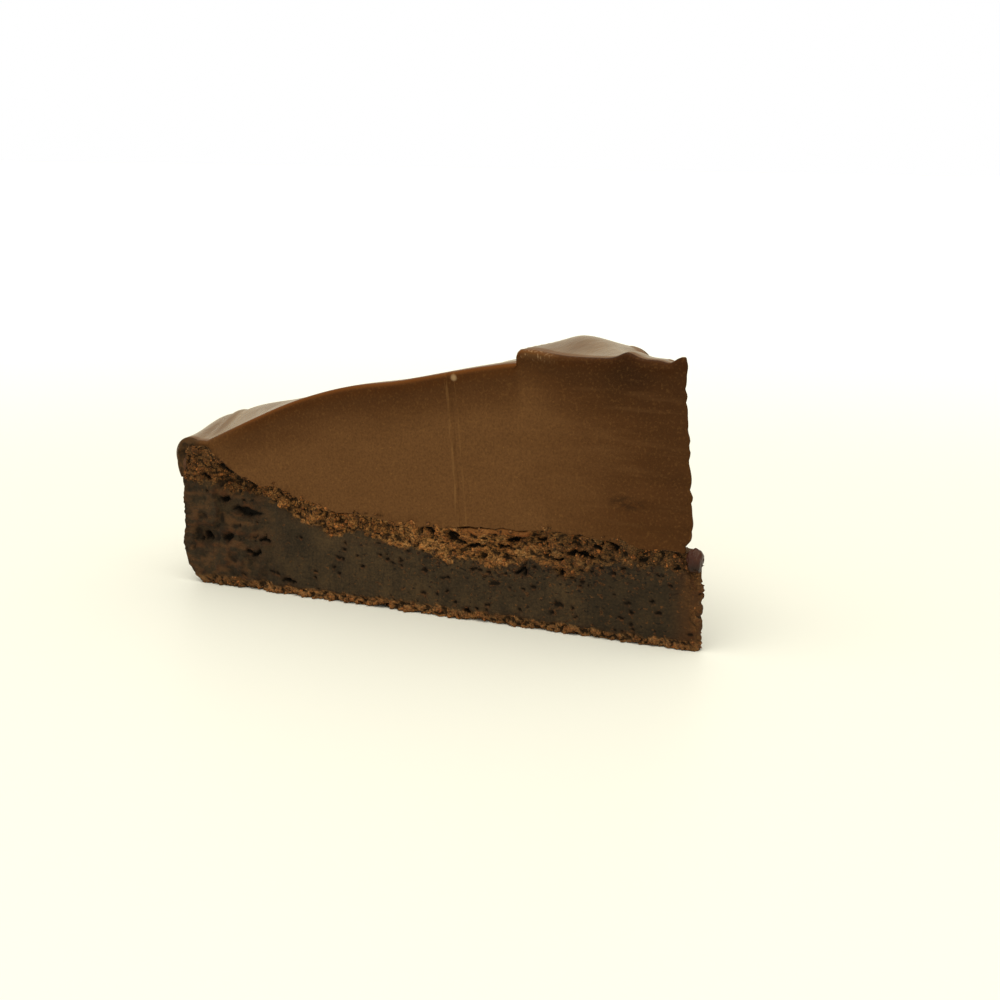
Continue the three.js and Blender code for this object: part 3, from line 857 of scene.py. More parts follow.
dab_mesh = bpy.data.meshes.new("dab")
ball = bmesh.new()
bmesh.ops.create_icosphere(ball, subdivisions=5, radius=1)
directions = np.array([corner.co for corner in ball.verts])
swell = 1 + 0.6 * (bumps(directions, 0.9, 130) - 0.5) + 0.3 * (bumps(directions, 0.4, 131) - 0.5)
dab_points = directions * DAB_SIZE * swell[:, None]
dab_points += place(np.array(DAB_RADIUS), DAB_TURN, DAB_HEIGHT)
for corner, point in zip(ball.verts, dab_points * MM):
    corner.co = point
ball.to_mesh(dab_mesh)
ball.free()
dab_mesh.shade_smooth()
dab = bpy.data.objects.new("dab", dab_mesh)
bpy.context.scene.collection.objects.link(dab)
print("dab:", len(dab_mesh.polygons), "faces")

# %% [markdown]
# ## Short calls for materials
# A material is a tree of small nodes, and written out in full each would fill a page. So one
# helper keeps a tree and adds a node for each call. All patterns are in millimetres on the piece.

# %% Finish builder
def colour(red, green, blue):
    """A colour as a screen shows it, 0 to 255, turned into the light that it stands for."""
    values = [v / 255 for v in (red, green, blue)]
    return (*[v / 12.92 if v <= 0.04045 else ((v + 0.055) / 1.055) ** 2.4 for v in values], 1)


class Tree:
    """A material's tree. Each call adds one node and returns its output."""

    def __init__(self, name, **settings):
        self.material = bpy.data.materials.new(name)
        self.material.use_nodes = True
        self.tree = self.material.node_tree
        self.shader = self.tree.nodes["Principled BSDF"]
        for socket, value in settings.items():
            self.shader.inputs[socket.replace("_", " ")].default_value = value
        place_node = self.add("TexCoord")
        self.mm = self.vector("SCALE", place_node.outputs["Object"], scale=1 / MM)

    def add(self, kind, **settings):
        node = self.tree.nodes.new("ShaderNode" + kind)
        for key, value in settings.items():
            setattr(node, key, value)
        return node

    def plug(self, socket, value):
        if isinstance(value, bpy.types.NodeSocket):
            self.tree.links.new(value, socket)
        else:
            socket.default_value = value

    def vector(self, operation, first, second=None, scale=None):
        node = self.add("VectorMath", operation=operation)
        self.plug(node.inputs[0], first)
        if second is not None:
            self.plug(node.inputs[1], second)
        if scale is not None:
            node.inputs["Scale"].default_value = scale
        is_number = operation in ("LENGTH", "DISTANCE", "DOT_PRODUCT")
        return node.outputs["Value" if is_number else "Vector"]

    def number(self, operation, first, second=0.0):
        node = self.add("Math", operation=operation)
        self.plug(node.inputs[0], first)
        self.plug(node.inputs[1], second)
        return node.outputs[0]

    def times(self, first, second):
        return self.number("MULTIPLY", first, second)

    def part(self, amount, of):
        return self.times(of, amount)

    def finish(self, **sockets):
        for socket, value in sockets.items():
            self.plug(self.shader.inputs[socket.replace("_", " ")], value)
        return self.material


print("mid grey stands for", round(colour(128, 128, 128)[0], 3), "of the light")

# %% [markdown]
# ## Patterns for materials
# The patterns that the finishes need are few: soft noise, scattered cells, a distance, and the
# numbers that the mesh carries. Each is one more call, and so are the ways to blend colours.

# %% Patterns
class Finish(Tree):
    """A tree with patterns, for the finish of a piece."""

    def noise(self, size, detail=2.0, stretch=(1, 1, 1)):
        """Cloudy bumps of one size, longer along the axes that are stretched."""
        node = self.add("TexNoise")
        scaled = self.vector("DIVIDE", self.mm, tuple(size * s for s in stretch))
        self.plug(node.inputs["Vector"], scaled)
        node.inputs["Scale"].default_value = 1.0
        node.inputs["Detail"].default_value = detail
        return node.outputs["Fac"]

    def cells(self, size):
        """Distance to the nearest of scattered points."""
        node = self.add("TexVoronoi")
        self.plug(node.inputs["Vector"], self.vector("SCALE", self.mm, scale=1 / size))
        node.inputs["Scale"].default_value = 1.0
        return node.outputs["Distance"]

    def spread(self, value, low, high, start=0.0, end=1.0):
        """The value brought from low..high to start..end, with soft ends."""
        node = self.add("MapRange", interpolation_type="SMOOTHSTEP")
        for socket, number in zip(node.inputs, (value, low, high, start, end)):
            self.plug(socket, number)
        return node.outputs[0]

    def blend(self, amount, first, second, blend_type="MIX"):
        node = self.add("Mix", data_type="RGBA", blend_type=blend_type)
        self.plug(node.inputs[0], amount)
        self.plug(node.inputs[6], first)
        self.plug(node.inputs[7], second)
        return node.outputs[2]

    def ramp(self, value, *stops):
        """Colours along a value, given as (place, colour)."""
        node = self.add("ValToRGB")
        self.plug(node.inputs[0], value)
        elements = node.color_ramp.elements
        while len(elements) < len(stops):
            elements.new(0.5)
        for element, (position, shade) in zip(elements, stops):
            element.position, element.color = position, shade
        return node.outputs[0]

    def radius(self):
        """Distance from the middle of the whole cake."""
        from_middle = self.vector("SUBTRACT", self.mm, (CENTRE_X, 0, 0))
        return self.vector("LENGTH", self.vector("MULTIPLY", from_middle, (1, 1, 0)))

    def noted(self, name):
        """A number that the mesh carries at each point."""
        return self.add("Attribute", attribute_name=name).outputs["Fac"]

    def bump(self, height, distance, under=None):
        """Fine relief, `distance` millimetres high."""
        node = self.add("Bump")
        self.plug(node.inputs["Height"], height)
        node.inputs["Distance"].default_value = distance * MM
        node.inputs["Strength"].default_value = 1.0
        if under:
            self.plug(node.inputs["Normal"], under)
        return node.outputs["Normal"]


print("calls for patterns:", [name for name in vars(Finish) if name[0] != "_"])

# %% [markdown]
# ## The crumb's colours
# Pressed crumb is almost black. Dry crumb is orange-brown, because air between the crumbs scatters
# the light. Its light and shade are painted too: the notes on the mesh say where the relief dips and
# rises, so the colours follow the real relief. Painted highlight makes crests paler, painted shade
# makes cracks and holes nearly black, and the lower lip of each slit, which faces up, is painted
# orange as if lit from above.

# %% Colours of crust
def crust_colours(finish):
    """Golden-brown crumb of uneven tone, with painted shade along its fine cracks."""
    cloud = finish.noise(2.2, 3)
    grain = finish.noise(0.3, 4)
    value = finish.number("ADD", finish.part(0.45, cloud), finish.part(0.55, grain))
    shade = finish.ramp(value, (0.34, colour(58, 40, 20)), (0.45, colour(112, 78, 41)),
                        (0.56, colour(152, 108, 60)), (0.68, colour(194, 152, 102)))
    # Painted shade: thin dark lines where a noise crosses its middle stand for shaded cracks between
    # crumbs.
    field = finish.noise(1.2, 6, stretch=(1.4, 1.4, 0.7))
    off_crack = finish.number("ABSOLUTE", finish.number("SUBTRACT", field, 0.5))
    return finish.blend(finish.spread(off_crack, 0.035, 0.008, 0, 0.75), shade, colour(30, 19, 8))


crumb = Finish("cake_crumb", Roughness=0.85, Specular_IOR_Level=0.15)
radius = crumb.radius()
print(crumb.material.name, "starts with", len(crumb.tree.nodes), "nodes")

# %% [markdown]
# ## Pressed crumb
# It is dark and cloudy, with faint upright streaks from the knife. It gets darker towards the tip
# and the rim. By the rim, where it is coarse, brown shows in places.

# %% Pressed crumb
patches, grain = crumb.noise(5, 3), crumb.noise(0.4, 4)
dense = crumb.ramp(crumb.number("ADD", crumb.part(0.5, patches), crumb.part(0.5, grain)),
                   (0.36, colour(36, 28, 17)), (0.5, colour(53, 41, 26)), (0.64, colour(68, 52, 32)))
streaks = crumb.noise(0.5, 2, stretch=(1, 1, 10))
dense = crumb.blend(crumb.spread(streaks, 0.45, 0.75, 0, 0.35), dense, colour(34, 25, 14))
towards_tip, towards_rim = crumb.spread(radius, 34, 16, 0, 0.42), crumb.spread(radius, 78, 98, 0, 0.36)
dense = crumb.blend(crumb.number("MAXIMUM", towards_tip, towards_rim), dense, colour(26, 20, 11))
brown = crumb.spread(crumb.noise(1.8, 4, stretch=(1.5, 1.5, 0.8)), 0.42, 0.65, 0, 0.5)
dense = crumb.blend(crumb.times(crumb.noted("coarse"), brown), dense, colour(88, 58, 32))
print("pressed crumb:", len(crumb.tree.nodes), "nodes so far")

# %% [markdown]
# ## Torn specks
# The smallest tears in pressed crumb are finer than the mesh, so the shade inside them is painted:
# they are drawn nearly black where a noise passes a limit. Just short of the limit lies a rim of
# loose, orange crumb round each tear.

# %% Torn specks
limit = crumb.number("SUBTRACT", crumb.spread(radius, 84, 58, 0.7, 0.645),
                     crumb.part(0.1, crumb.noted("flecked")))
tears = crumb.noise(0.7, 4, stretch=(1.3, 1.3, 0.8))
over_limit = crumb.number("SUBTRACT", tears, limit)
loose_rim = crumb.times(crumb.spread(over_limit, -0.07, -0.005),
                        crumb.spread(crumb.noise(0.9, 3), 0.45, 0.62, 0, 0.6))
dense = crumb.blend(loose_rim, dense, colour(112, 70, 32))
# Painted shade: the tears themselves are painted nearly black.
dense = crumb.blend(crumb.spread(over_limit, -0.005, 0.01, 0, 0.8), dense, colour(16, 11, 6))
print("with tears:", len(crumb.tree.nodes), "nodes")

# %% [markdown]
# ## Crust
# Crust isn't the same all over. It is most golden two thirds of the way out, duller towards the tip
# and darker by the rim, and along the foot it is paler and greyer. Single flakes stand out light or
# dark.

# %% Crust
crust = crust_colours(crumb)
crust = crumb.blend(crumb.spread(radius, 60, 74, 0, 0.22), crust, colour(158, 110, 60))
flakes = crumb.noise(0.42, 3, stretch=(1.5, 1.5, 0.7))
crust = crumb.blend(crumb.spread(flakes, 0.56, 0.66, 0, 0.6), crust, colour(178, 120, 62))
crust = crumb.blend(crumb.spread(flakes, 0.44, 0.35, 0, 0.6), crust, colour(44, 28, 12))
crust = crumb.blend(crumb.part(0.4, crumb.noted("foot")), crust, colour(132, 98, 64))
by_tip = crumb.times(crumb.spread(radius, 58, 14, 0, 0.68),
                     crumb.spread(crumb.noted("foot"), 0, 1, 1, 0.25))
crust = crumb.blend(by_tip, crust, colour(42, 31, 17))
crust = crumb.blend(crumb.spread(radius, 92, 102, 0, 0.5), crust, colour(50, 34, 17))
print("with crust:", len(crumb.tree.nodes), "nodes")

# %% [markdown]
# ## All of the crumb
# The notes on the mesh now choose between pressed crumb and crust, and lay light and shade over
# both: lips and raised crumbs are paler, hollows and gashes almost black.

# %% Crumb finish
base = crumb.blend(crumb.noted("crumbly"), dense, crust)
base = crumb.blend(crumb.part(0.8, crumb.noted("lip")), base, colour(114, 70, 32))
base = crumb.blend(crumb.spread(radius, 9, 3, 0, 0.35), base, colour(88, 50, 18))
# Painted light: the upward-facing lower rims of pits are painted orange, as if lit from above.
painted_rim_light = crumb.times(crumb.noted("fringe"), crumb.spread(crumb.noise(1.5, 2), 0.4, 0.65, 0.05, 0.55))
base = crumb.blend(painted_rim_light, base, colour(104, 64, 30))
# Painted highlight on raised crumbs, and painted shade darkening the hollows.
base = crumb.blend(crumb.part(0.5, crumb.noted("raised")), base, colour(150, 102, 52), "SOFT_LIGHT")
base = crumb.blend(crumb.spread(crumb.noted("hollow"), 0.12, 0.9, 0, 0.85), base, colour(22, 14, 6))
# Painted shade: the gashes are painted almost black.
base = crumb.blend(crumb.part(0.85, crumb.noted("gash")), base, colour(10, 7, 3))
# Painted shade in the crevices between rounded crumbs of the crust.
between = crumb.times(crumb.spread(crumb.cells(0.85), 0.4, 0.75), crumb.noted("rounded"))
base = crumb.blend(crumb.part(0.34, between), base, colour(34, 22, 10))
fine = crumb.bump(crumb.noise(0.28, 3), 0.06)
fine = crumb.bump(crumb.noise(1, 5, stretch=(1.4, 1.4, 0.7)), 0.4, fine)
crumb.finish(Base_Color=base, Normal=crumb.bump(crumb.number("SUBTRACT", 1, between), 0.3, fine))
cake.data.materials.append(crumb.material)
print(crumb.material.name, "has", len(crumb.tree.nodes), "nodes")

# %% [markdown]
# ## The mousse's colours
# A cut through mousse is matte. Its countless small bubbles catch the light, and the material paints
# their glints as golden specks. Towards the top edge it is darker and redder, and towards the tip it
# is darker as painted shade. The spread top is a smooth skin that reflects the room, so it gets a
# material of its own, because its gloss is a property of the whole skin.

# %% Colours of cut mousse
def mousse_colour(finish):
    """Milk-chocolate brown, darker and redder by the top edge, and darker towards the tip as painted shade.
    """
    by_tip = finish.spread(finish.radius(), 44, 4)
    by_edge = finish.spread(finish.noted("depth"), finish.spread(by_tip, 0, 1, 12, 17), 2)
    cloud = finish.noise(7, 3, stretch=(1.6, 1.6, 0.7))
    by_edge = finish.times(by_edge, finish.spread(by_tip, 0.7, 1, 0.5, 0.18))
    off_rim = finish.spread(finish.radius(), 111, 94, 0.25, 1)
    by_edge = finish.times(by_edge, off_rim)
    # Painted shade: the cut gets darker towards the tip.
    darker = finish.number("ADD", finish.part(0.6, by_tip), by_edge)
    darker = finish.number("ADD", darker, finish.spread(cloud, 0.25, 0.75, 0.08, -0.08))
    shade = finish.ramp(darker, (0, colour(93, 62, 34)), (0.5, colour(70, 42, 18)),
                        (1, colour(42, 22, 6)))
    rich = finish.times(off_rim, finish.spread(finish.noted("depth"), 3.4, 1, 0, 0.8))
    return finish.blend(rich, shade, (0.9, 0.72, 0.35, 1), "MULTIPLY")


cut = Finish("mousse_cut", Specular_IOR_Level=0.06)
base = mousse_colour(cut)
base = cut.blend(cut.spread(cut.noise(0.4, 3), 0.4, 0.7, 0, 0.32), base, colour(52, 31, 13))
base = cut.blend(cut.spread(cut.noise(0.6, 2, stretch=(1, 1, 7)), 0.5, 0.8, 0, 0.12), base,
                 colour(58, 35, 15))
base = cut.blend(cut.spread(cut.noise(0.5, 3), 0.5, 0.75, 0, 0.14), base, colour(136, 96, 52))
many = cut.times(cut.spread(cut.noise(2), 0.45, 0.7, 0, 0.36), cut.spread(cut.radius(), 8, 46, 0.25, 1))
many = cut.times(many, cut.spread(cut.noted("depth"), 1, 10, 0.2, 1))
# Painted highlight: the glints of small bubbles, painted as golden specks.
bubble_glints = cut.times(cut.spread(cut.cells(0.8), 0.16, 0.07), many)
base = cut.blend(bubble_glints, base, colour(150, 104, 52))
# Painted glow: a thin orange line along the top edge stands for light shining through it.
painted_edge_glow = cut.times(cut.spread(cut.noted("depth"), 1.1, 0.2), cut.spread(cut.radius(), 30, 36, 0.1, 0.85))
painted_edge_glow = cut.times(painted_edge_glow, cut.spread(cut.radius(), 110, 95, 0.1, 0.8))
base = cut.blend(painted_edge_glow, base, colour(108, 61, 22))
print("cut mousse:", len(cut.tree.nodes), "nodes so far")

# %% [markdown]
# ## Marks on the cut
# The knife line of the mesh is too fine to shade well, so the material paints it in broken lines:
# painted highlight on its ridges and painted shade in its groove. A pale spot at its upper end is a
# painted highlight, some crumb was rubbed in by the tip, and faint pale level streaks towards the
# tip are painted highlight on the blade's drag waves.

# %% Marks on the cut
near = cut.spread(cut.vector("DOT_PRODUCT", cut.mm, (0, 1, 0)), 0, -1)
height = cut.vector("DOT_PRODUCT", cut.mm, (0, 0, 1))
along = cut.number("SUBTRACT", cut.radius(), cut.part(KNIFE_LEAN, height))
broken = cut.spread(cut.noise(1.2, 3, stretch=(0.4, 0.4, 5)), 0.4, 0.62)
# Painted highlight on the knife line's ridges, and painted shade in its groove.
for offset, width, amount, shade in ((0, 0.4, 0.2, (142, 104, 62)), (-0.65, 0.5, 0.22, (54, 32, 12)),
                                     (-1.9, 0.25, 0.14, (136, 98, 56))):
    off_line = cut.number("ABSOLUTE", cut.number("SUBTRACT", along, KNIFE_LINE + offset))
    line = cut.times(cut.spread(off_line, width, 0.3 * width, 0, amount), broken)
    base = cut.blend(cut.times(line, near), base, colour(*shade))
# Painted highlight: a pale glint at the upper end of the knife line.
glint_spot = tuple(place(np.array(52.5), -HALF_ANGLE, 46.3))
glint_spot = cut.spread(cut.vector("DISTANCE", cut.mm, glint_spot), 0.95, 0.5, 0, 0.65)
base = cut.blend(glint_spot, base, colour(158, 130, 96))
smudge = tuple(place(np.array(16.8), -HALF_ANGLE, 25.8) * (1, 1, 2.6))
off_smudge = cut.vector("DISTANCE", cut.vector("MULTIPLY", cut.mm, (1, 1, 2.6)), smudge)
rubbed = cut.noise(0.8, 3, stretch=(1.6, 1.6, 1))
rubbed = cut.times(cut.spread(off_smudge, 4.4, 2), cut.spread(rubbed, 0.44, 0.56, 0, 0.6))
base = cut.blend(rubbed, base, colour(44, 27, 12))
# Painted highlight: faint pale level streaks on the drag waves towards the tip.
wave_highlight = cut.spread(cut.noise(2, 3, stretch=(7, 7, 0.8)), 0.52, 0.72, 0, 0.16)
wave_highlight = cut.times(wave_highlight, cut.spread(cut.radius(), 45, 20))
base = cut.blend(wave_highlight, base, colour(104, 72, 42))
print("with the marks:", len(cut.tree.nodes), "nodes")

# %% [markdown]
# ## Smears and gloss
# At the cut of the lap the knife smeared crumb into the mousse. The top edge, and the place where
# the fold was dragged down, are glossier than the rest, because the mousse was pressed there. The
# dragged place is also painted paler, with streaks of painted highlight.

# %% Smears and gloss
smear = cut.ramp(cut.noise(1.1, 5), (0.38, colour(28, 19, 10)), (0.48, colour(66, 44, 24)),
                 (0.6, colour(104, 70, 38)))
base = cut.blend(cut.noted("smeared"), base, smear)
base = cut.blend(cut.spread(cut.radius(), 110, 112.5, 0, 0.6), base, colour(50, 37, 23))
# Painted highlight: the dragged place is painted paler, with brighter streaks where it catches light.
base = cut.blend(cut.part(0.35, cut.noted("dragged")), base, colour(104, 74, 44))
streak_glints = cut.spread(cut.noise(0.45, 2, stretch=(1, 1, 3)), 0.54, 0.68)
base = cut.blend(cut.times(cut.part(0.6, cut.noted("dragged")), streak_glints), base, colour(150, 118, 84))
gloss = cut.spread(cut.noted("depth"), 0.3, 1.4, 0.42, 0.75)
gloss = cut.number("SUBTRACT", gloss, cut.part(0.3, cut.noted("dragged")))
fine = cut.bump(cut.noise(0.3, 3), 0.03)
cut.finish(Base_Color=base, Roughness=gloss, Normal=cut.bump(cut.noise(1.6, 2), 0.06, fine))
print(cut.material.name, "has", len(cut.tree.nodes), "nodes")

# %% [markdown]
# ## The spread top
# The palette knife closed the bubbles of the top into a skin. It mirrors the room softly when seen
# at a low angle, and shows the mousse's brown from above. Streaks run across the slice, as the
# knife did. By the cuts the skin bends over and shows more of its own colour.

# %% Skin finish
skin = Finish("mousse_skin", Specular_IOR_Level=0.72, Sheen_Weight=0.15,
              Sheen_Tint=(1, 0.76, 0.42, 1))
tint = skin.ramp(skin.noise(5, 3, stretch=(1, 2, 1)), (0.3, colour(88, 57, 26)),
                 (0.7, colour(104, 72, 36)))
streaks = skin.noise(0.9, 4, stretch=(0.6, 9, 1))
dry = skin.spread(skin.noise(4, 3, stretch=(1, 2.5, 1)), 0.38, 0.62, 0.24, 0.34)
base = skin.blend(skin.spread(streaks, 0.5, 0.75, 0, 0.22), tint, colour(70, 44, 22))
by_cut = skin.spread(skin.noted("inset"), 1.6, 0.3)
by_cut = skin.number("MAXIMUM", by_cut, skin.noted("flank"))
base = skin.blend(skin.part(0.95, by_cut), base, colour(88, 48, 12))
dry = skin.number("ADD", dry, skin.part(0.5, by_cut))
ripple = skin.bump(skin.noise(3.2, 2, stretch=(1, 3.5, 1)), 0.24)
skin.finish(Base_Color=base, Roughness=dry, Normal=skin.bump(streaks, 0.07, ripple))
print(skin.material.name, "has", len(skin.tree.nodes), "nodes")

# %% [markdown]
# ## The dab's finish
# The dab is the same mousse, but darker, as it lies thin on dark cake, and a little glossy where it
# melted.

# %% Dab finish
plum = Finish("dab_chocolate", Roughness=0.36, Specular_IOR_Level=0.18)
height = plum.vector("DOT_PRODUCT", plum.mm, (0, 0, 1))
upper = plum.spread(height, DAB_HEIGHT - 1.6, DAB_HEIGHT + 0.4)
base = plum.blend(upper, colour(36, 20, 10), colour(56, 26, 17))
base = plum.blend(plum.spread(plum.noise(1.2, 3), 0.45, 0.7, 0, 0.4), base, colour(70, 40, 20))
plum.finish(Base_Color=base, Normal=plum.bump(plum.noise(0.5, 3), 0.08))
dab.data.materials.append(plum.material)
print(plum.material.name, "has", len(plum.tree.nodes), "nodes")

# %% [markdown]
# ## Two finishes on one piece
# A face takes its finish by number: 0 is cut mousse and 1 is skin. The wall is cut, and the top is
# skin. So is the skirt's lower edge, which no knife has touched.

# %% Cut and skin on the mousse
mousse.data.materials.append(cut.material)
mousse.data.materials.append(skin.material)
on_top = np.arange(len(faces)) >= wall_count
on_top[:wall_count] = np.tile(np.abs(mousse_wedge.column - SKIRT_END) < 1e-6, MOUSSE_ROWS)
mousse.data.polygons.foreach_set("material_index", on_top.astype(np.int32))
print(cut.material.name, "and", skin.material.name, "on", len(mousse.data.polygons), "faces")

# %% [markdown]
# ## Loose crumbs
# Crumbs break off at the crust, and hang on by a corner. A wall that only moves in and out can't
# undercut, so real crumbs go on top of it. Geometry Nodes scatter them: points on the wall, more
# where the mesh is noted as crumbly, a small lump on each point, then every lump is pushed out of
# shape by noise so that no two are alike. There are two sizes, large crumbs and fine grains.

# %% Inputs and node calls
def scatter_inputs(tree):
    """Names for the sizes that a scatter takes."""
    face = tree.interface
    face.new_socket("Geometry", in_out="INPUT", socket_type="NodeSocketGeometry")
    for title in ("Crumbs per square millimetre", "Smallest", "Largest", "Dent size", "Dent depth"):
        face.new_socket(title, in_out="INPUT", socket_type="NodeSocketFloat")
    face.new_socket("Seed", in_out="INPUT", socket_type="NodeSocketInt")
    face.new_socket("Fineness", in_out="INPUT", socket_type="NodeSocketInt")
    face.new_socket("Finish", in_out="INPUT", socket_type="NodeSocketMaterial")
    face.new_socket("Geometry", in_out="OUTPUT", socket_type="NodeSocketGeometry")


def adder(tree):
    """A call that adds a node to a tree and gives back its outputs."""
    def add(kind, inputs=None, **settings):
        node = tree.nodes.new(kind)
        for key, value in settings.items():
            setattr(node, key, value)
        for key, value in (inputs or {}).items():
            socket = node.inputs[key]
            if isinstance(value, bpy.types.NodeSocket):
                tree.links.new(value, socket)
            else:
                socket.default_value = value
        return node.outputs
    return add


def crumb_density(add, per_square_mm):
    """More crumbs where the mesh is crumbly, none in hollows and gashes."""
    def noted(name):
        return add("GeometryNodeInputNamedAttribute", {"Name": name}, data_type="FLOAT")["Attribute"]

    def math_node(operation, first, second, clamp=False):
        return add("ShaderNodeMath", {0: first, 1: second}, operation=operation, use_clamp=clamp)[0]

    chance = math_node("POWER", noted("crumbly"), 3.0)
    chance = math_node("MULTIPLY", chance, math_node("SUBTRACT", 1.0, noted("hollow"), True))
    chance = math_node("SUBTRACT", chance, noted("gash"), True)
    return math_node("MULTIPLY", chance, math_node("MULTIPLY", per_square_mm, MM**-2))


# %% [markdown]
# ## The scatter tree
# The tree is read from its first node to its last: points on the wall, a ball on each, turned, grown
# and squashed by random numbers of fixed seeds. The lumps are made real before they are dented, so
# the noise dents each one in its own way.

# %% Crumb scatter tree
def scatter_tree(name):
    """A tree that covers crumbly faces with lumps. Its inputs are named for their sizes."""
    tree = bpy.data.node_groups.new(name, "GeometryNodeTree")
    scatter_inputs(tree)
    add = adder(tree)
    given = add("NodeGroupInput")
    wall = add("GeometryNodeInputNamedAttribute", {"Name": "wall"}, data_type="BOOLEAN")
    scattered = add("GeometryNodeDistributePointsOnFaces", {
        "Mesh": given["Geometry"], "Selection": wall["Attribute"], "Seed": given["Seed"],
        "Density": crumb_density(add, given["Crumbs per square millimetre"])},
        distribute_method="RANDOM")
    lump = add("GeometryNodeMeshIcoSphere", {"Radius": 0.5 * MM, "Subdivisions": given["Fineness"]})
    turned = add("FunctionNodeRandomValue", {1: (math.tau,) * 3, "Seed": 5}, data_type="FLOAT_VECTOR")
    grown = add("FunctionNodeRandomValue", {2: given["Smallest"], 3: given["Largest"], "Seed": 6},
                data_type="FLOAT")
    squashed = add("FunctionNodeRandomValue", {0: (0.7, 0.7, 0.55), 1: (1.25, 1.25, 1.0), "Seed": 7},
                   data_type="FLOAT_VECTOR")
    size = add("ShaderNodeVectorMath", {0: squashed["Value"], "Scale": grown[1]}, operation="SCALE")
    placed = add("GeometryNodeInstanceOnPoints", {
        "Points": scattered["Points"], "Instance": lump["Mesh"], "Rotation": turned["Value"],
        "Scale": size["Vector"]})
    tone = add("FunctionNodeRandomValue", {"Seed": 8}, data_type="FLOAT")
    toned = add("GeometryNodeStoreNamedAttribute", {
        "Geometry": placed["Instances"], "Name": "tone", "Value": tone[1]},
        data_type="FLOAT", domain="INSTANCE")
    realised = add("GeometryNodeRealizeInstances", {"Geometry": toned["Geometry"]})
    position = add("GeometryNodeInputPosition")
    in_mm = add("ShaderNodeVectorMath", {0: position["Position"], "Scale": 1 / MM}, operation="SCALE")
    cloud = add("ShaderNodeTexNoise", {
        "Vector": in_mm["Vector"], "Scale": given["Dent size"], "Detail": 1.0})
    centred = add("ShaderNodeVectorMath", {0: cloud["Color"], 1: (0.5, 0.5, 0.5)},
                  operation="SUBTRACT")
    pushed = add("ShaderNodeVectorMath", {0: centred["Vector"], "Scale": given["Dent depth"]},
                 operation="SCALE")
    dented = add("GeometryNodeSetPosition", {
        "Geometry": realised["Geometry"], "Offset": pushed["Vector"]})
    smoothed = add("GeometryNodeSetShadeSmooth", {"Geometry": dented["Geometry"]})
    dressed = add("GeometryNodeSetMaterial", {
        "Geometry": smoothed["Geometry"], "Material": given["Finish"]})
    add("NodeGroupOutput", {"Geometry": dressed["Geometry"]})
    return tree


tree = scatter_tree("crumb scatter")
print("the scatter tree has", len(tree.nodes), "nodes")

# %% [markdown]
# ## From the tree to plain pieces
# The tree runs as a modifier on a copy of the cake, and its result is kept as a plain mesh. Its
# inputs are set by their identifiers. The same tree serves twice, once for a few large crumbs and
# once for many grains. Each lump has a tone of its own, from nearly black to pale.

# %% Crumbs and grains
def scattered_piece(name, tree, **values):
    """The lumps that a tree puts on the cake, as a plain mesh."""
    maker = bpy.data.objects.new(name + " maker", cake.data.copy())
    bpy.context.scene.collection.objects.link(maker)
    modifier = maker.modifiers.new("scatter", "NODES")
    modifier.node_group = tree
    for item in tree.interface.items_tree:
        if item.in_out == "INPUT" and item.name in values:
            modifier[item.identifier] = values[item.name]
    evaluated = maker.evaluated_get(bpy.context.evaluated_depsgraph_get())
    mesh = bpy.data.meshes.new_from_object(evaluated)
    bpy.data.objects.remove(maker)
    mesh.name = name
    piece = bpy.data.objects.new(name, mesh)
    bpy.context.scene.collection.objects.link(piece)
    print(name + ":", len(mesh.polygons), "faces")
    return piece


loose = Finish("loose_crumb", Roughness=0.85, Specular_IOR_Level=0.2)
shade = loose.ramp(loose.noted("tone"), (0.0, colour(20, 12, 6)), (0.5, colour(110, 70, 34)),
                   (1.0, colour(190, 140, 90)))
loose.finish(Base_Color=loose.blend(0.6, crust_colours(loose), shade, "OVERLAY"),
             Normal=loose.bump(loose.noise(0.3, 3), 0.12))
crumbs = scattered_piece("crumbs", tree, **{
    "Crumbs per square millimetre": 0.25, "Smallest": 0.4, "Largest": 0.9, "Dent size": 2.2,
    "Dent depth": 0.7 * MM, "Seed": 3, "Fineness": 2, "Finish": loose.material})
grains = scattered_piece("grains", tree, **{
    "Crumbs per square millimetre": 1.6, "Smallest": 0.15, "Largest": 0.45, "Dent size": 4.0,
    "Dent depth": 0.25 * MM, "Seed": 4, "Fineness": 1, "Finish": loose.material})

# %% [markdown]
# ## What each piece is
# A slice has no moving part, so every piece rides on the root, and the solids from the file are
# hidden. The dab has no solid of its own, because in the solids it is one with the cake.

# %% Ride
pieces = ((cake, "cake"), (mousse, "mousse"), (dab, "mousse"), (crumbs, "cake"), (grains, "cake"))
for piece, slot in pieces:
    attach(piece, "root")
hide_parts("cake_base")
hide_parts("mousse")
print("pieces:", [piece.name for piece, _ in pieces])

# %% [markdown]
# ## The floor
# The slice stands on a pale, plain floor. It is a wide disc, so its edge is out of sight. Near the
# slice it is a little darker than far off, where it runs into the white behind it.

# %% Floor
FLOOR_RADIUS, FLOOR_POINTS = 8.0, 96
FLOOR_NEAR, FLOOR_FAR = 130, 520

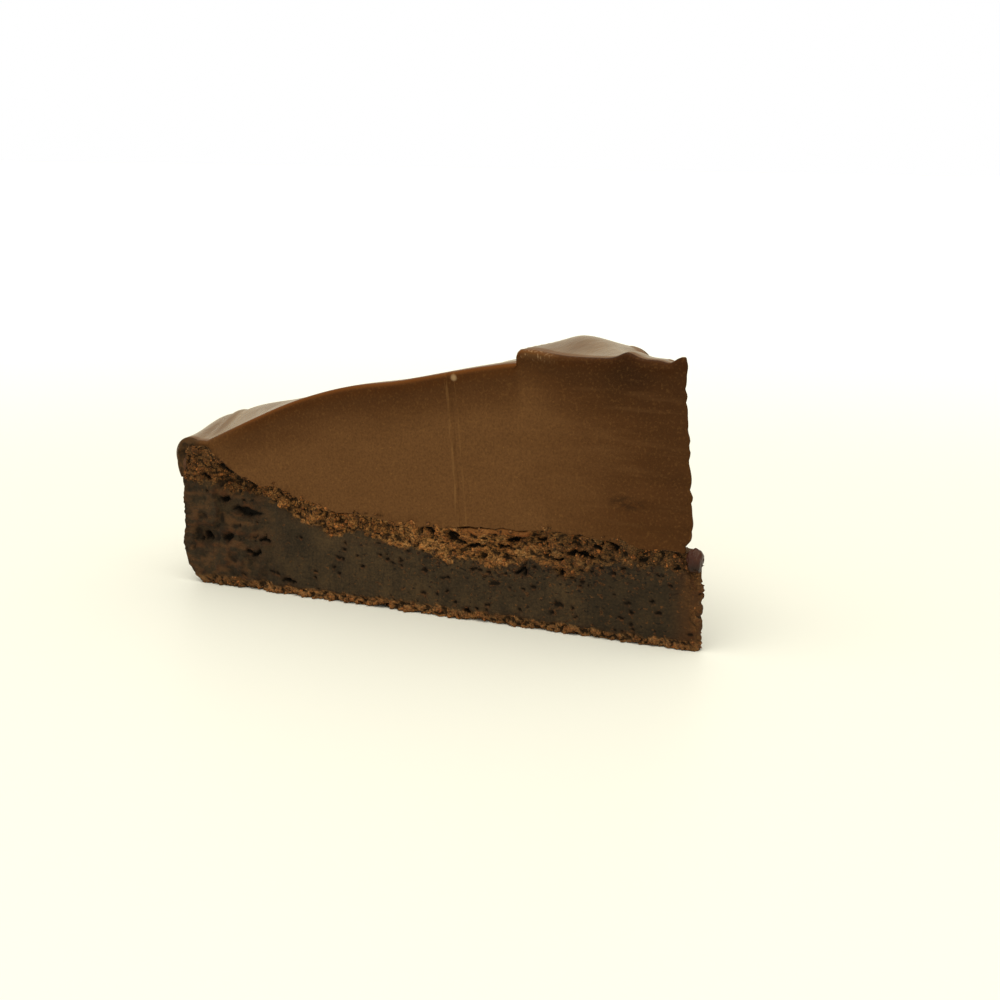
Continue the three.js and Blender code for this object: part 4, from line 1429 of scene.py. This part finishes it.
floor_mesh = bpy.data.meshes.new("floor")
ring = [(FLOOR_RADIUS * math.cos(a), FLOOR_RADIUS * math.sin(a), 0)
        for a in np.linspace(0, math.tau, FLOOR_POINTS + 1)[:-1]]
floor_mesh.from_pydata(ring, [], [list(range(FLOOR_POINTS))])
floor = bpy.data.objects.new("floor", floor_mesh)
bpy.context.scene.collection.objects.link(floor)
pale = Finish("pale_floor", Roughness=0.5, Specular_IOR_Level=0.3)
away = pale.spread(pale.vector("LENGTH", pale.mm), FLOOR_NEAR, FLOOR_FAR)
pale.finish(Base_Color=pale.blend(away, (0.83, 0.835, 0.825, 1), (0.93, 0.96, 1, 1)))
floor_mesh.materials.append(pale.material)
print("the floor is", 2 * FLOOR_RADIUS, "m wide")

# %% [markdown]
# ## Soft studio light
# Most of the light comes from all round, as in a white room, and is a little warm. The camera alone
# sees the room as pure white. Two wide lamps above and in front model the form: their light is so
# soft that a crumb's shadow has no hard edge.

# %% Room
WARM = (1.0, 0.965, 0.8, 1)
ROOM_STRENGTH = 0.95

world = bpy.data.worlds.new("studio")
world.use_nodes = True
room = world.node_tree
walls = room.nodes["Background"]
walls.inputs["Color"].default_value = WARM
walls.inputs["Strength"].default_value = ROOM_STRENGTH
backdrop = room.nodes.new("ShaderNodeBackground")
backdrop.inputs["Color"].default_value = (1, 1, 1, 1)
seen = room.nodes.new("ShaderNodeLightPath")
either = room.nodes.new("ShaderNodeMixShader")
room.links.new(seen.outputs["Is Camera Ray"], either.inputs[0])
room.links.new(walls.outputs[0], either.inputs[1])
room.links.new(backdrop.outputs[0], either.inputs[2])
room.links.new(either.outputs[0], room.nodes["World Output"].inputs["Surface"])
bpy.context.scene.world = world
bpy.context.scene.view_settings.view_transform = "Standard"
print("room light:", ROOM_STRENGTH)


# %% Lamps
def sky_lamp(name, come_from, strength, softness=45):
    """Light from one side of the room, as even as that of a large window."""
    lamp = bpy.data.lights.new(name, "SUN")
    lamp.angle, lamp.energy, lamp.color = math.radians(softness), strength, WARM[:3]
    holder = bpy.data.objects.new(name, lamp)
    holder.matrix_world = Vector(come_from).to_track_quat("Z", "Y").to_matrix().to_4x4()
    bpy.context.scene.collection.objects.link(holder)
    print(name, "lamp, strength", strength)


sky_lamp("overhead", (0.1, -0.35, 1), 1.1)
sky_lamp("front", (0.7, -0.8, 0.7), 0.35)

# %% [markdown]
# ## The camera
# The camera stands low in front of one cut and looks slightly down, and leans a little to one side.
# It is given by where it stands and by how far it is turned, tilted and rolled.

# %% Camera
LENS, SENSOR = 68.4, 36
CAMERA_PLACE = Vector((0.266, -0.25993, 0.0886))
YAW, TILT, ROLL = math.radians(135), math.radians(10.5), math.radians(0.9)

forward = Vector((math.cos(TILT) * math.cos(YAW), math.cos(TILT) * math.sin(YAW), -math.sin(TILT)))
level_right = forward.cross(Vector((0, 0, 1))).normalized()
level_up = level_right.cross(forward)
right = math.cos(ROLL) * level_right + math.sin(ROLL) * level_up
upward = right.cross(forward)
camera_data = bpy.data.cameras.new("camera")
camera_data.lens, camera_data.sensor_width = LENS, SENSOR
camera_data.clip_start = 0.01
camera = bpy.data.objects.new("camera", camera_data)
camera.matrix_world = Matrix.Translation(CAMERA_PLACE) @ Matrix(
    (right, upward, -forward)).transposed().to_4x4()
bpy.context.scene.collection.objects.link(camera)
bpy.context.scene.camera = camera
print("the camera stands", round(CAMERA_PLACE.length, 3), "m from the slice")

# %% [markdown]
